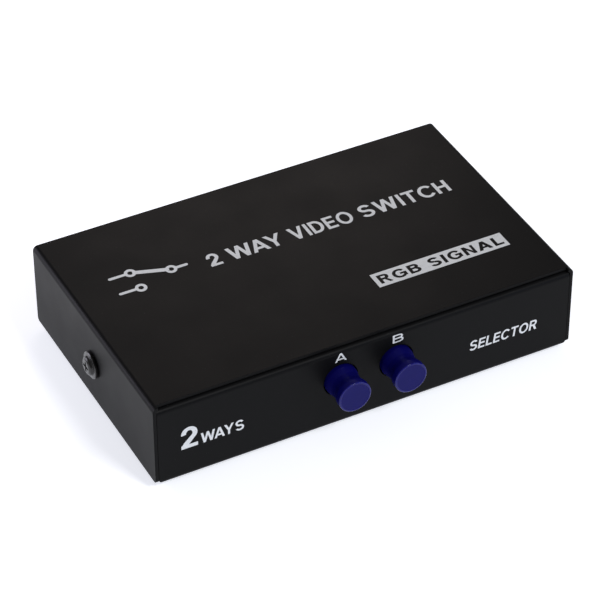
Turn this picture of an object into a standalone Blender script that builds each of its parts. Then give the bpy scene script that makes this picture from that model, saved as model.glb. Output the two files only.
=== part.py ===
"""Two-way VGA selector box: folded steel case, three DE-15 sockets, and an interlocked two-button switch.

Metres, +Z up. X runs along the front panel to the right, Y runs from the front panel to the rear panel.
The origin is at the bottom centre of the whole object's box, so the rubber feet stand on Z = 0.
"""

import math

import bmesh
import bpy
from mathutils import Matrix, Vector

MM = 0.001

# ---- driving dimensions, in millimetres ----------------------------------------------------------------
GAP = 0.3  # clearance left between pieces that touch on the real object

CASE_W = 131.5  # across the cover's sides
CASE_D = 80.4  # front panel face to rear panel face
CASE_H = 27.7  # underside of the floor to the top of the cover
SHEET = 1.0  # steel sheet thickness
BEND_R = 1.6  # outer radius of every fold
COVER_LIFT = 0.9  # the cover's sides stop this far above the underside
COVER_SETBACK = 1.3  # the top sheet stops this far behind the front panel's face
FLANGE_LEN = 7.0  # inward flanges along the top of the front and rear panels
EAR_HALF, EAR_ABOVE_SCREW = 8.0, 6.0  # the tapped ears that the side screws turn into

FOOT_R, FOOT_T = 4.5, 1.5
FOOT_INSET_X, FOOT_INSET_Y = 12.0, 11.0

BUTTON_X = 8.75  # each button's distance from the centre line: a 17.5 mm switch pitch
BUTTON_DROP = 11.8  # button axis below the top of the case
BUTTON_HOLE_R = 5.4
CAP_OUT = 8.5  # how far a released cap stands out of the panel
CAP_IN = 3.0  # how far it reaches in, from the panel's face
CAP_HEAD_R, CAP_WAIST_R, CAP_BASE_R = 5.0, 4.5, 5.0
CAP_SOCKET_DEPTH = 9.5

STEM = 3.4  # square stem of a plunger
SLIDER_W, SLIDER_H, SLIDER_LEN = 5.8, 4.6, 27.0
COLLAR_R, COLLAR_T = 3.5, 1.0
TOOTH_OUT, TOOTH_LEN, TOOTH_HALF = 1.3, 2.0, 1.2
TOOTH_TIP = 0.5  # the flat along the tooth's crest, ahead of its ramp
RETURN_COIL_R, RETURN_WIRE_R, RETURN_TURNS = 2.95, 0.25, 6

BRACKET_LEFT, BRACKET_RIGHT = -20.0, 28.0
BRACKET_T = 1.0
LOCK_BAR_LEFT, LOCK_BAR_RIGHT, LOCK_BAR_T = -18.0, 19.0, 0.8
LOCK_TRAVEL = 1.5  # how far a tooth pushes the lock bar aside
TONGUE_LEN, TONGUE_HALF = 2.5, 0.7
LOCK_COIL_R, LOCK_WIRE_R, LOCK_TURNS = 1.5, 0.2, 5

VGA_PITCH = 38.0
VGA_AXIS_ABOVE_BOARD = 6.6
SHROUD_W, SHROUD_H, SHROUD_WALL = 16.33, 7.9, 0.5
SHROUD_LEN = 5.9
SHROUD_R = 2.6
FLANGE_W, FLANGE_H, FLANGE_T = 30.8, 12.5, 0.8
EARS_W, EARS_H, EARS_T = 30.4, 12.2, 3.0  # the moulding's ears, behind the flange
BLOCK_HALF, BLOCK_LEN, BLOCK_HIGH = 9.5, 12.0, 5.6  # its block on the board
CONTACT_PITCH, CONTACT_ROW, CONTACT_SHIFT = 2.29, 1.98, 0.57
CONTACT_HOLE_R, CONTACT_HOLE_DEEP = 0.5, 4.5
JACK_HALF_SPACING = 12.5
HEX_FLATS, HEX_LEN = 4.75, 4.8
STUD_R, STUD_LEN = 1.4, 7.0
TAPPED_R, TAPPED_FROM = 1.2, 1.5

BOARD_W, BOARD_T = 120.0, 1.6
BOARD_CLEAR = 5.0  # floor to the underside of the board
BOARD_FRONT = 11.0  # front panel face to the board's front edge
BOARD_SCREW_X, BOARD_SCREW_INSET = 52.0, 5.5
STANDOFF_R = 3.2  # across the corners of the hexagon, halved

SCREW_SIDE_DROP = 14.05  # side screw axis below the top of the case
WASHER_HEAD_R = 4.1
COVER_SHANK_R, COVER_SHANK_LEN = 1.7, 7.5
BOARD_SHANK_R, BOARD_SHANK_LEN = 1.5, 4.2

# ---- places worked out from them -------------------------------------------------------------------------
REAR_OUT = GAP + HEX_LEN
Y_FRONT = -(CASE_D + CAP_OUT + REAR_OUT) / 2 + CAP_OUT
Y_REAR = Y_FRONT + CASE_D
Y_MID = (Y_FRONT + Y_REAR) / 2
Z_UNDER = FOOT_T + GAP
Z_FLOOR = Z_UNDER + SHEET
Z_TOP = Z_UNDER + CASE_H
CHASSIS_W = CASE_W - 2 * SHEET - 2 * GAP

Z_BUTTON = Z_TOP - BUTTON_DROP
Z_SCREW = Z_TOP - SCREW_SIDE_DROP
Z_BOARD = Z_FLOOR + BOARD_CLEAR
Z_BOARD_TOP = Z_BOARD + BOARD_T
Z_VGA = Z_BOARD_TOP + VGA_AXIS_ABOVE_BOARD

Y_CAP_BACK = Y_FRONT + CAP_IN
Y_COLLAR = Y_CAP_BACK + GAP
Y_SPRING_FRONT = Y_COLLAR + COLLAR_T + GAP
Y_BRACKET = Y_FRONT + 14.2  # front face of the bracket's plate
Y_TOOTH = Y_BRACKET + BRACKET_T + 0.4
Y_LOCK_BAR = Y_TOOTH + TOOTH_LEN + GAP
Y_BODY = Y_BRACKET + 8.3
BODY_LEN, BODY_W = 34.0, 9.8
Z_BRACKET_LOW = Z_BOARD_TOP + GAP
Z_BRACKET_HIGH = Z_BUTTON + 5.0
LIP_BACK = Y_BODY - GAP
Y_FLANGE = Y_REAR - SHEET - GAP  # outer face of the connector flanges
BOARD_SCREW_Y = Y_FRONT + BOARD_FRONT + BOARD_SCREW_INSET

ROUND = 32  # sides of the round pieces that are seen
ROUND_SMALL = 16


# ---- small tools ----------------------------------------------------------------------------------------
def clear_scene():
    for obj in list(bpy.data.objects):
        bpy.data.objects.remove(obj)


def make_material(name, color, roughness, metallic=0.0):
    mat = bpy.data.materials.new(name)
    mat.use_nodes = True
    shader = mat.node_tree.nodes["Principled BSDF"]
    shader.inputs["Base Color"].default_value = (*color, 1.0)
    shader.inputs["Roughness"].default_value = roughness
    shader.inputs["Metallic"].default_value = metallic
    return mat


def add_object(name, mesh, at=(0, 0, 0), material=None, parent=None, helper=False):
    """Puts a mesh in the scene at a place in millimetres. A helper is a cutter, left out of the model."""
    obj = bpy.data.objects.new(name, mesh)
    obj.location = Vector(at) * MM
    bpy.context.scene.collection.objects.link(obj)
    if material:
        mesh.materials.append(material)
    if helper:
        obj.hide_render = True
        obj.display_type = "WIRE"
    if parent:
        obj.parent = parent
        obj.location = Vector(at) * MM - parent.location
    return obj


def mesh_from(build):
    """A mesh made by build(bm) in millimetres, with its faces turned outwards."""
    bm = bmesh.new()
    build(bm)
    bmesh.ops.recalc_face_normals(bm, faces=bm.faces)
    bmesh.ops.scale(bm, vec=(MM, MM, MM), verts=bm.verts)
    mesh = bpy.data.meshes.new("mesh")
    bm.to_mesh(mesh)
    bm.free()
    return mesh


def smooth(mesh, angle=35):
    mesh.shade_smooth()
    mesh.set_sharp_from_angle(angle=math.radians(angle))


def box_mesh(low, high):
    size = [h - l for l, h in zip(low, high)]
    centre = [(h + l) / 2 for l, h in zip(low, high)]

    def build(bm):
        bmesh.ops.create_cube(bm, size=1.0)
        bmesh.ops.scale(bm, vec=size, verts=bm.verts)
        bmesh.ops.translate(bm, vec=centre, verts=bm.verts)

    return mesh_from(build)


def prism_mesh(outline, axis, low, high):
    """An outline of (u, v) points pushed along an axis. (u, v) are (y, z), (x, z) or (x, y) for X, Y or Z."""
    order = {"X": (2, 0, 1), "Y": (0, 2, 1), "Z": (0, 1, 2)}[axis]

    def place(u, v, w):
        return [(u, v, w)[k] for k in order]

    def build(bm):
        face = bm.faces.new([bm.verts.new(place(u, v, low)) for u, v in outline])
        pushed = bmesh.ops.extrude_face_region(bm, geom=[face])["geom"]
        shift = Vector(place(0, 0, high - low))
        bmesh.ops.translate(bm, vec=shift, verts=[g for g in pushed if isinstance(g, bmesh.types.BMVert)])

    return mesh_from(build)


def turned_mesh(profile, axis, sides):
    """Spins (distance along the axis, radius) points about the X, Y or Z axis. A zero radius is a pole."""
    turn = {
        "X": Matrix.Rotation(math.pi / 2, 3, "Y"),
        "Y": Matrix.Rotation(-math.pi / 2, 3, "X"),
        "Z": Matrix.Identity(3),
    }[axis]

    def build(bm):
        rings = []
        for along, radius in profile:
            if radius == 0:
                rings.append([bm.verts.new((0, 0, along))])
                continue
            angles = [2 * math.pi * k / sides for k in range(sides)]
            rings.append([bm.verts.new((radius * math.cos(a), radius * math.sin(a), along)) for a in angles])
        for a, b in zip(rings, rings[1:]):
            for k in range(sides):
                n = (k + 1) % sides
                corners = [a[k % len(a)], a[n % len(a)], b[n % len(b)], b[k % len(b)]]
                bm.faces.new(list(dict.fromkeys(corners)))
        bmesh.ops.rotate(bm, matrix=turn, verts=bm.verts)

    mesh = mesh_from(build)
    smooth(mesh)
    return mesh


def arc(centre, radius, start, end, steps):
    """Points on an arc, angles in degrees."""
    angles = [math.radians(start + (end - start) * k / steps) for k in range(steps + 1)]
    return [(centre[0] + radius * math.cos(a), centre[1] + radius * math.sin(a)) for a in angles]


def rounded_outline(corners, radius, steps=5):
    """The outline through corner points, each replaced by an arc. The corners run anticlockwise."""
    points = []
    count = len(corners)
    for k, here in enumerate(corners):
        before, after = Vector(corners[k - 1]), Vector(corners[(k + 1) % count])
        here = Vector(here)
        into, out = (here - before).normalized(), (after - here).normalized()
        half = (math.pi - into.angle(out)) / 2
        reach = radius / math.tan(half)
        start = here - into * reach
        centre = start + Vector((-into.y, into.x)) * radius
        first = math.atan2(start.y - centre.y, start.x - centre.x)
        turn = into.angle(out)
        for step in range(steps + 1):
            angle = first + turn * step / steps
            points.append((centre.x + radius * math.cos(angle), centre.y + radius * math.sin(angle)))
    return points


def boolean(target, cutter, operation="DIFFERENCE"):
    modifier = target.modifiers.new(operation.lower(), "BOOLEAN")
    modifier.object = cutter
    modifier.operation = operation
    modifier.solver = "EXACT"


def cutter(name, mesh):
    return add_object(name, mesh, helper=True)


def moved(mesh, shift):
    mesh.transform(Matrix.Translation(Vector(shift) * MM))
    return mesh


def cut_round_hole(target, axis, centre, radius, low, high, sides=ROUND_SMALL):
    """A round through-hole along an axis. centre holds the other two coordinates in X, Y, Z order."""
    place = {
        "X": (0, centre[0], centre[1]),
        "Y": (centre[0], 0, centre[1]),
        "Z": (centre[0], centre[1], 0),
    }[axis]
    mesh = turned_mesh([(low, 0), (low, radius), (high, radius), (high, 0)], axis, sides)
    boolean(target, cutter(target.name + "_hole", moved(mesh, place)))


# ---- finishes -------------------------------------------------------------------------------------------
clear_scene()
BLACK_PAINT = make_material("black_paint", (0.018, 0.018, 0.019), 0.6)
BLACK_STEEL = make_material("blackened_steel", (0.03, 0.03, 0.032), 0.4, 0.8)
NICKEL = make_material("nickel_plate", (0.62, 0.6, 0.56), 0.3, 1.0)
ZINC = make_material("zinc_plate", (0.55, 0.56, 0.57), 0.35, 1.0)
SPRING_STEEL = make_material("spring_steel", (0.45, 0.45, 0.46), 0.3, 1.0)
BLUE_ABS = make_material("blue_abs", (0.018, 0.016, 0.12), 0.4)
BLUE_PBT = make_material("blue_pbt", (0.02, 0.07, 0.35), 0.5)
WHITE_POM = make_material("white_pom", (0.75, 0.74, 0.7), 0.4)
BLACK_NYLON = make_material("black_nylon", (0.02, 0.02, 0.022), 0.55)
RUBBER = make_material("black_rubber", (0.02, 0.02, 0.02), 0.85)
BOARD_GREEN = make_material("board_green", (0.02, 0.12, 0.05), 0.4)


# ---- case -----------------------------------------------------------------------------------------------
def cover_outline():
    """The cover's folded section seen from the front: down the left side, under, and round the outside."""
    half, low = CASE_W / 2, Z_UNDER + COVER_LIFT
    inner_r = BEND_R - SHEET
    left = (-half + BEND_R, Z_TOP - BEND_R)
    right = (half - BEND_R, Z_TOP - BEND_R)
    outside = [(half, low)] + arc(right, BEND_R, 0, 90, 6) + arc(left, BEND_R, 90, 180, 6) + [(-half, low)]
    inside = [(-half + SHEET, low)] + arc(left, inner_r, 180, 90, 4) + arc(right, inner_r, 90, 0, 4)
    return outside + inside + [(half - SHEET, low)]


def make_top_cover():
    cover = add_object("top_cover", prism_mesh(cover_outline(), "Y", Y_FRONT, Y_REAR), material=BLACK_PAINT)
    reach = CASE_W / 2 - BEND_R
    setback = box_mesh(
        (-reach, Y_FRONT - 1, Z_TOP - SHEET - 0.2), (reach, Y_FRONT + COVER_SETBACK, Z_TOP + 1)
    )
    boolean(cover, cutter("cover_setback", setback))
    cut_round_hole(cover, "X", (Y_MID, Z_SCREW), COVER_SHANK_R + 0.4, -CASE_W / 2 - 1, CASE_W / 2 + 1)


def chassis_outline():
    """The chassis section seen from the right: front flange, front panel, floor, rear panel, rear flange."""
    high = Z_TOP - SHEET - GAP
    r_in = BEND_R - SHEET
    y0, y1, z0 = Y_FRONT, Y_REAR, Z_UNDER
    centres = [
        (y0 + BEND_R, high - BEND_R),
        (y0 + BEND_R, z0 + BEND_R),
        (y1 - BEND_R, z0 + BEND_R),
        (y1 - BEND_R, high - BEND_R),
    ]
    outside = arc(centres[0], BEND_R, 90, 180, 6) + arc(centres[1], BEND_R, 180, 270, 6)
    outside += arc(centres[2], BEND_R, 270, 360, 6) + arc(centres[3], BEND_R, 0, 90, 6)
    inside = arc(centres[3], r_in, 90, 0, 4) + arc(centres[2], r_in, 360, 270, 4)
    inside += arc(centres[1], r_in, 270, 180, 4) + arc(centres[0], r_in, 180, 90, 4)
    rear_tip = [(y1 - FLANGE_LEN, high), (y1 - FLANGE_LEN, high - SHEET)]
    front_tip = [(y0 + FLANGE_LEN, high - SHEET), (y0 + FLANGE_LEN, high)]
    return outside + rear_tip + inside + front_tip


def shroud_corners(grow):
    """The D of a DE-15 shell, wide side up, anticlockwise as (x, z) seen from behind the front panel."""
    half_top = SHROUD_W / 2 + grow
    half_high = SHROUD_H / 2 + grow
    half_bottom = half_top - 2 * half_high * math.tan(math.radians(10))
    low_side = [(-half_bottom, -half_high), (half_bottom, -half_high)]
    return low_side + [(half_top, half_high), (-half_top, half_high)]


def d_prism(x, grow, low, high, steps=5):
    outline = [(x + u, Z_VGA + v) for u, v in rounded_outline(shroud_corners(grow), SHROUD_R + grow, steps)]
    return prism_mesh(outline, "Y", low, high)


VGA_X = {"a": -VGA_PITCH, "out": 0.0, "b": VGA_PITCH}


def make_bottom_chassis():
    half = CHASSIS_W / 2
    folded = prism_mesh(chassis_outline(), "X", -half, half)
    chassis = add_object("bottom_chassis", folded, material=BLACK_PAINT)
    for side in (-1, 1):
        edges = sorted((side * (half - 0.05), side * (half - SHEET)))
        ear_top = Z_SCREW + EAR_ABOVE_SCREW
        ear = box_mesh((edges[0], Y_MID - EAR_HALF, Z_UNDER + 0.3), (edges[1], Y_MID + EAR_HALF, ear_top))
        boolean(chassis, cutter("screw_ear", ear), "UNION")
    cut_round_hole(chassis, "X", (Y_MID, Z_SCREW), COVER_SHANK_R + GAP, -half - 1, half + 1)
    for x in (-BUTTON_X, BUTTON_X):
        cut_round_hole(
            chassis, "Y", (x, Z_BUTTON), BUTTON_HOLE_R, Y_FRONT - 1, Y_FRONT + SHEET + 0.3, ROUND
        )
    for x in VGA_X.values():
        boolean(chassis, cutter("vga_opening", d_prism(x, 0.35, Y_REAR - SHEET - 0.3, Y_REAR + 1)))
        for side in (-1, 1):
            centre = (x + side * JACK_HALF_SPACING, Z_VGA)
            cut_round_hole(chassis, "Y", centre, STUD_R + GAP, Y_REAR - SHEET - 0.3, Y_REAR + 1, 12)


def make_feet():
    profile = [(0, 0), (0, FOOT_R - 0.4), (0.4, FOOT_R), (FOOT_T, FOOT_R), (FOOT_T, 0)]
    mesh = turned_mesh(profile, "Z", 20)
    mesh.materials.append(RUBBER)
    spots = [(sx, sy) for sy in (-1, 1) for sx in (-1, 1)]
    for number, (sx, sy) in enumerate(spots, 1):
        x = sx * (CASE_W / 2 - FOOT_INSET_X)
        y = Y_MID + sy * (CASE_D / 2 - FOOT_INSET_Y)
        add_object(f"rubber_foot_{number}", mesh, at=(x, y, 0))


def cross_recess(size, width, depth):
    """Two crossed bars that cut a cross recess, centred on the origin and reaching depth along -Z."""

    def build(bm):
        outline = [
            (size, -width), (size, width), (width, width), (width, size), (-width, size), (-width, width),
            (-size, width), (-size, -width), (-width, -width), (-width, -size), (width, -size), (width, -width),
        ]
        top = [bm.verts.new((u, v, 1.0)) for u, v in outline]
        low = [bm.verts.new((u * 0.6, v * 0.6, -depth)) for u, v in outline]
        bm.faces.new(top)
        bm.faces.new(reversed(low))
        for k in range(len(outline)):
            n = (k + 1) % len(outline)
            bm.faces.new([top[k], low[k], low[n], top[n]])

    return mesh_from(build)


def make_screw(name, profile, recess, material, sides=20):
    """A screw standing along +Z with its head up and the head's seat at Z = 0."""
    screw = add_object(name, turned_mesh(profile, "Z", sides), material=material)
    tip = add_object(name + "_recess", recess, helper=True, parent=screw)
    boolean(screw, tip)
    return screw


def make_cover_screws():
    profile = [(1.9, 0), (1.9, 1.7), (1.75, 2.2), (1.3, 2.75), (0.8, 3.0), (0.8, WASHER_HEAD_R - 0.2)]
    profile += [(0.55, WASHER_HEAD_R), (0, WASHER_HEAD_R), (0, COVER_SHANK_R)]
    profile += [(-COVER_SHANK_LEN, COVER_SHANK_R), (-COVER_SHANK_LEN - 0.8, COVER_SHANK_R - 0.8)]
    profile += [(-COVER_SHANK_LEN - 0.8, 0)]
    for name, side in (("left", -1), ("right", 1)):
        recess = moved(cross_recess(1.9, 0.42, 1.3), (0, 0, 1.9))
        screw = make_screw("cover_screw_" + name, profile, recess, BLACK_STEEL)
        screw.location = Vector((side * (CASE_W / 2 + GAP), Y_MID, Z_SCREW)) * MM
        screw.rotation_euler = (0, side * math.pi / 2, 0)


# ---- rear sockets ---------------------------------------------------------------------------------------
def make_vga_shell(name, x):
    """Drawn steel shell: a flange behind the panel and a D-shaped shroud standing out through it."""
    half_w, half_h = FLANGE_W / 2, FLANGE_H / 2
    flange = box_mesh(
        (x - half_w, Y_FLANGE - FLANGE_T, Z_VGA - half_h), (x + half_w, Y_FLANGE, Z_VGA + half_h)
    )
    shell = add_object("vga_shell_" + name, flange, material=NICKEL)
    outer = d_prism(x, 0, Y_FLANGE - FLANGE_T / 2, Y_FLANGE + SHROUD_LEN)
    boolean(shell, cutter("shroud", outer), "UNION")
    bore = d_prism(x, -SHROUD_WALL, Y_FLANGE - FLANGE_T - 1, Y_FLANGE + SHROUD_LEN + 1)
    boolean(shell, cutter("shroud_bore", bore))
    for side in (-1, 1):
        centre = (x + side * JACK_HALF_SPACING, Z_VGA)
        cut_round_hole(shell, "Y", centre, STUD_R + GAP, Y_FLANGE - FLANGE_T - 1, Y_FLANGE + 1, 12)


def contact_places():
    """The fifteen contact holes of a socket: three rows of five, the middle row offset by half a pitch."""
    rows = ((1, CONTACT_SHIFT), (0, -CONTACT_SHIFT), (-1, CONTACT_SHIFT))
    return [((k - 2) * CONTACT_PITCH + shift, row * CONTACT_ROW) for row, shift in rows for k in range(5)]


def make_vga_insulator(name, x):
    """Moulded socket body: a face that fills the shroud, ears behind the flange, and a block on the board."""
    back = Y_FLANGE - FLANGE_T - GAP
    face = Y_FLANGE + SHROUD_LEN - 0.4
    body = add_object(
        "vga_insulator_" + name, d_prism(x, -SHROUD_WALL - GAP, back - 1, face, 4), material=BLUE_PBT
    )
    half_w, half_h = EARS_W / 2, EARS_H / 2
    ears = box_mesh((x - half_w, back - EARS_T, Z_VGA - half_h), (x + half_w, back, Z_VGA + half_h))
    block = box_mesh(
        (x - BLOCK_HALF, back - BLOCK_LEN, Z_BOARD_TOP + GAP), (x + BLOCK_HALF, back - 0.5, Z_VGA + BLOCK_HIGH)
    )
    boolean(body, cutter("ears", ears), "UNION")
    boolean(body, cutter("block", block), "UNION")
    for side in (-1, 1):
        centre = (x + side * JACK_HALF_SPACING, Z_VGA)
        cut_round_hole(body, "Y", centre, STUD_R + GAP, back - 4, back + 1, 12)
    for u, v in contact_places():
        cut_round_hole(body, "Y", (x + u, Z_VGA + v), CONTACT_HOLE_R, face - CONTACT_HOLE_DEEP, face + 1, 8)


def make_jackscrews():
    """Hex-headed female screwlocks. Each clamps a flange to the panel and takes the plug's thumbscrew."""
    number = 0
    for x in VGA_X.values():
        for side in (-1, 1):
            number += 1
            hex_r = HEX_FLATS / math.sqrt(3)
            hexagon = arc((0, 0), hex_r, 0, 300, 5)
            head = prism_mesh(hexagon, "Y", 0, HEX_LEN)
            jack = add_object(f"jackscrew_{number}", head, material=NICKEL)
            stud = turned_mesh([(-STUD_LEN, 0), (-STUD_LEN, STUD_R), (1.0, STUD_R), (1.0, 0)], "Y", 12)
            bore = [(TAPPED_FROM, 0), (TAPPED_FROM, TAPPED_R), (HEX_LEN + 1, TAPPED_R), (HEX_LEN + 1, 0)]
            socket = turned_mesh(bore, "Y", 12)
            for mesh, operation in ((stud, "UNION"), (socket, "DIFFERENCE")):
                boolean(jack, add_object("jack_tool", mesh, helper=True, parent=jack), operation)
            jack.location = Vector((x + side * JACK_HALF_SPACING, Y_REAR + GAP, Z_VGA)) * MM


# ---- circuit board --------------------------------------------------------------------------------------
def make_board():
    low = (-BOARD_W / 2, Y_FRONT + BOARD_FRONT, Z_BOARD)
    high = (BOARD_W / 2, Y_FLANGE - FLANGE_T - GAP - 0.1, Z_BOARD_TOP)
    board = add_object("circuit_board", box_mesh(low, high), material=BOARD_GREEN)
    for side in (-1, 1):
        centre = (side * BOARD_SCREW_X, BOARD_SCREW_Y)
        cut_round_hole(board, "Z", centre, BOARD_SHANK_R + GAP, Z_BOARD - 1, Z_BOARD_TOP + 1)


def make_board_mounts():
    """Hexagonal standoffs clinched in the floor, and the screws that hold the board's front corners down."""
    low, high = Z_FLOOR + GAP, Z_BOARD - GAP
    head = [(2.1, 0), (2.1, 1.6), (1.7, 2.3), (0.9, 2.75), (0, 2.75), (0, BOARD_SHANK_R)]
    head += [(-BOARD_SHANK_LEN, BOARD_SHANK_R), (-BOARD_SHANK_LEN, 0)]
    for name, side in (("left", -1), ("right", 1)):
        x = side * BOARD_SCREW_X
        hexagon = arc((x, BOARD_SCREW_Y), STANDOFF_R, 0, 300, 5)
        standoff = add_object("standoff_" + name, prism_mesh(hexagon, "Z", low, high), material=ZINC)
        cut_round_hole(standoff, "Z", (x, BOARD_SCREW_Y), BOARD_SHANK_R + GAP, low - 1, high + 1, 12)
        recess = moved(cross_recess(1.3, 0.3, 1.0), (0, 0, 2.1))
        screw = make_screw("board_screw_" + name, head, recess, ZINC, ROUND_SMALL)
        screw.location = Vector((x, BOARD_SCREW_Y, Z_BOARD_TOP + GAP)) * MM


# ---- interlocked switch ---------------------------------------------------------------------------------
def make_bracket():
    """Steel channel on the board. Its front plate guides the stems; its lips hold the two switch bodies."""
    y0, z0, z1, t = Y_BRACKET, Z_BRACKET_LOW, Z_BRACKET_HIGH, BRACKET_T
    section = [
        (y0, z0), (LIP_BACK, z0), (LIP_BACK, z0 + t), (y0 + t, z0 + t),
        (y0 + t, z1 - t), (LIP_BACK, z1 - t), (LIP_BACK, z1), (y0, z1),
    ]
    bracket = add_object(
        "switch_bracket", prism_mesh(section, "X", BRACKET_LEFT, BRACKET_RIGHT), material=ZINC
    )
    end = box_mesh((BRACKET_RIGHT - t, y0 + 0.2, z0 + 0.2), (BRACKET_RIGHT - 0.05, LIP_BACK - 0.5, z1 - 0.2))
    boolean(bracket, cutter("end_plate", end), "UNION")
    for x in (-BUTTON_X, BUTTON_X):
        cut_round_hole(bracket, "Y", (x, Z_BUTTON), 2.75, y0 - 1, y0 + t + 0.2)


def make_switch_body(name, x):
    low = (x - BODY_W / 2, Y_BODY, Z_BRACKET_LOW)
    high = (x + BODY_W / 2, Y_BODY + BODY_LEN, Z_BUTTON + 4.7)
    body = add_object("switch_body_" + name, box_mesh(low, high), material=BLACK_NYLON)
    half_w, half_h = SLIDER_W / 2 + GAP, SLIDER_H / 2 + GAP
    tunnel = box_mesh(
        (x - half_w, Y_BODY - 1, Z_BUTTON - half_h), (x + half_w, Y_BODY + BODY_LEN + 1, Z_BUTTON + half_h)
    )
    boolean(body, cutter("slider_tunnel", tunnel))


def make_plunger(name, carrier):
    """Square stem with a spring collar, a ramped lock tooth, and the slider that carries the contacts."""
    half = STEM / 2
    y_tip = Y_CAP_BACK - CAP_SOCKET_DEPTH + GAP + 0.1
    y_slider = Y_BODY + 0.6
    shift = -carrier.location.y / MM
    stem = box_mesh((-half, y_tip, -half), (half, y_slider + 1, half))
    plunger = add_object("plunger_" + name, moved(stem, (0, shift, 0)), material=WHITE_POM)
    plunger.parent = carrier
    collar = turned_mesh([(0, 0), (0, COLLAR_R), (COLLAR_T, COLLAR_R), (COLLAR_T, 0)], "Y", 20)
    slider = box_mesh(
        (-SLIDER_W / 2, y_slider, -SLIDER_H / 2), (SLIDER_W / 2, y_slider + SLIDER_LEN, SLIDER_H / 2)
    )
    crest, root, y_end = half + TOOTH_OUT, half - 0.2, Y_TOOTH + TOOTH_LEN
    ramp = [(root, Y_TOOTH), (crest, Y_TOOTH), (crest, Y_TOOTH + TOOTH_TIP), (half, y_end), (root, y_end)]
    tooth = prism_mesh(ramp, "Z", -TOOTH_HALF, TOOTH_HALF)
    for mesh, offset in ((collar, Y_COLLAR), (slider, 0), (tooth, 0)):
        tool = add_object("plunger_tool", moved(mesh, (0, offset + shift, 0)), helper=True)
        tool.parent = carrier
        boolean(plunger, tool, "UNION")


def make_cap(name, carrier):
    """Moulded cap turned about the button axis, with a square socket that grips the stem."""
    out, back = -CAP_OUT, CAP_IN
    profile = [
        (back, 0), (back, CAP_BASE_R), (-1.1, CAP_BASE_R), (-2.2, CAP_WAIST_R + 0.2), (-3.1, CAP_WAIST_R),
        (-4.7, CAP_WAIST_R), (-5.5, CAP_WAIST_R + 0.2), (-6.4, CAP_HEAD_R), (out + 0.5, CAP_HEAD_R),
        (out + 0.2, CAP_HEAD_R - 0.2), (out, CAP_HEAD_R - 0.6), (out, 0),
    ]
    cap = add_object("button_cap_" + name, turned_mesh(profile, "Y", ROUND), material=BLUE_ABS)
    cap.parent = carrier
    half = STEM / 2 + GAP
    socket = box_mesh((-half, back - CAP_SOCKET_DEPTH, -half), (half, back + 1, half))
    tool = add_object("cap_socket", socket, helper=True)
    tool.parent = carrier
    boolean(cap, tool)


def helix_mesh(radius, wire, length, turns, per_turn=10, sides=5):
    """A coil spring along +Z: a round wire swept along a helix, with flat caps on its two ends."""

    def build(bm):
        rings = []
        rise = (length - 2 * wire) / turns
        steps = round(turns * per_turn)
        for k in range(steps + 1):
            angle = 2 * math.pi * k / per_turn
            out = Vector((math.cos(angle), math.sin(angle), 0))
            along = Vector((-radius * math.sin(angle), radius * math.cos(angle), rise / (2 * math.pi)))
            up = along.cross(out).normalized() * -1
            centre = out * radius + Vector((0, 0, wire + rise * k / per_turn))
            spokes = [2 * math.pi * s / sides for s in range(sides)]
            rings.append([bm.verts.new(centre + (out * math.cos(s) + up * math.sin(s)) * wire) for s in spokes])
        for a, b in zip(rings, rings[1:]):
            for s in range(sides):
                bm.faces.new([a[s], a[(s + 1) % sides], b[(s + 1) % sides], b[s]])
        bm.faces.new(rings[0])
        bm.faces.new(rings[-1])

    mesh = mesh_from(build)
    smooth(mesh, 60)
    return mesh


def make_spring(name, mesh, at, turn):
    spring = add_object(name, mesh, at=at, material=SPRING_STEEL)
    spring.rotation_euler = turn


def make_lock_bar():
    """Sliding plate with one window for each plunger. A tongue at its right end centres its spring."""
    low_z, high_z = Z_BRACKET_LOW + BRACKET_T + GAP, Z_BRACKET_HIGH - BRACKET_T - GAP
    y0, y1 = Y_LOCK_BAR, Y_LOCK_BAR + LOCK_BAR_T
    plate = box_mesh((LOCK_BAR_LEFT, y0, low_z), (LOCK_BAR_RIGHT, y1, high_z))
    bar = add_object("lock_bar", plate, material=ZINC)
    tongue = box_mesh(
        (LOCK_BAR_RIGHT - 0.5, y0 + 0.05, Z_BUTTON - TONGUE_HALF),
        (LOCK_BAR_RIGHT + TONGUE_LEN, y1 - 0.05, Z_BUTTON + TONGUE_HALF),
    )
    boolean(bar, cutter("tongue", tongue), "UNION")
    for x in (-BUTTON_X, BUTTON_X):
        window = box_mesh(
            (x - STEM / 2 - LOCK_TRAVEL - 0.4, y0 - 1, Z_BUTTON - STEM / 2 - 0.5),
            (x + STEM / 2 + TOOTH_OUT + GAP, y1 + 1, Z_BUTTON + STEM / 2 + 0.5),
        )
        boolean(bar, cutter("window", window))


def make_switch():
    make_bracket()
    coil = helix_mesh(RETURN_COIL_R, RETURN_WIRE_R, Y_BRACKET - GAP - Y_SPRING_FRONT, RETURN_TURNS)
    for name, x in (("a", -BUTTON_X), ("b", BUTTON_X)):
        make_switch_body(name, x)
        carrier = bpy.data.objects.new("button_axis_" + name, None)
        carrier.location = Vector((x, Y_FRONT, Z_BUTTON)) * MM
        bpy.context.scene.collection.objects.link(carrier)
        make_plunger(name, carrier)
        make_cap(name, carrier)
        make_spring("return_spring_" + name, coil, (x, Y_SPRING_FRONT, Z_BUTTON), (-math.pi / 2, 0, 0))
    make_lock_bar()
    x_low, x_high = LOCK_BAR_RIGHT + 0.4, BRACKET_RIGHT - BRACKET_T - 0.7
    small = helix_mesh(LOCK_COIL_R, LOCK_WIRE_R, x_high - x_low, LOCK_TURNS, 8)
    at = (x_low, Y_LOCK_BAR + LOCK_BAR_T / 2, Z_BUTTON)
    make_spring("lock_bar_spring", small, at, (0, math.pi / 2, 0))


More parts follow.
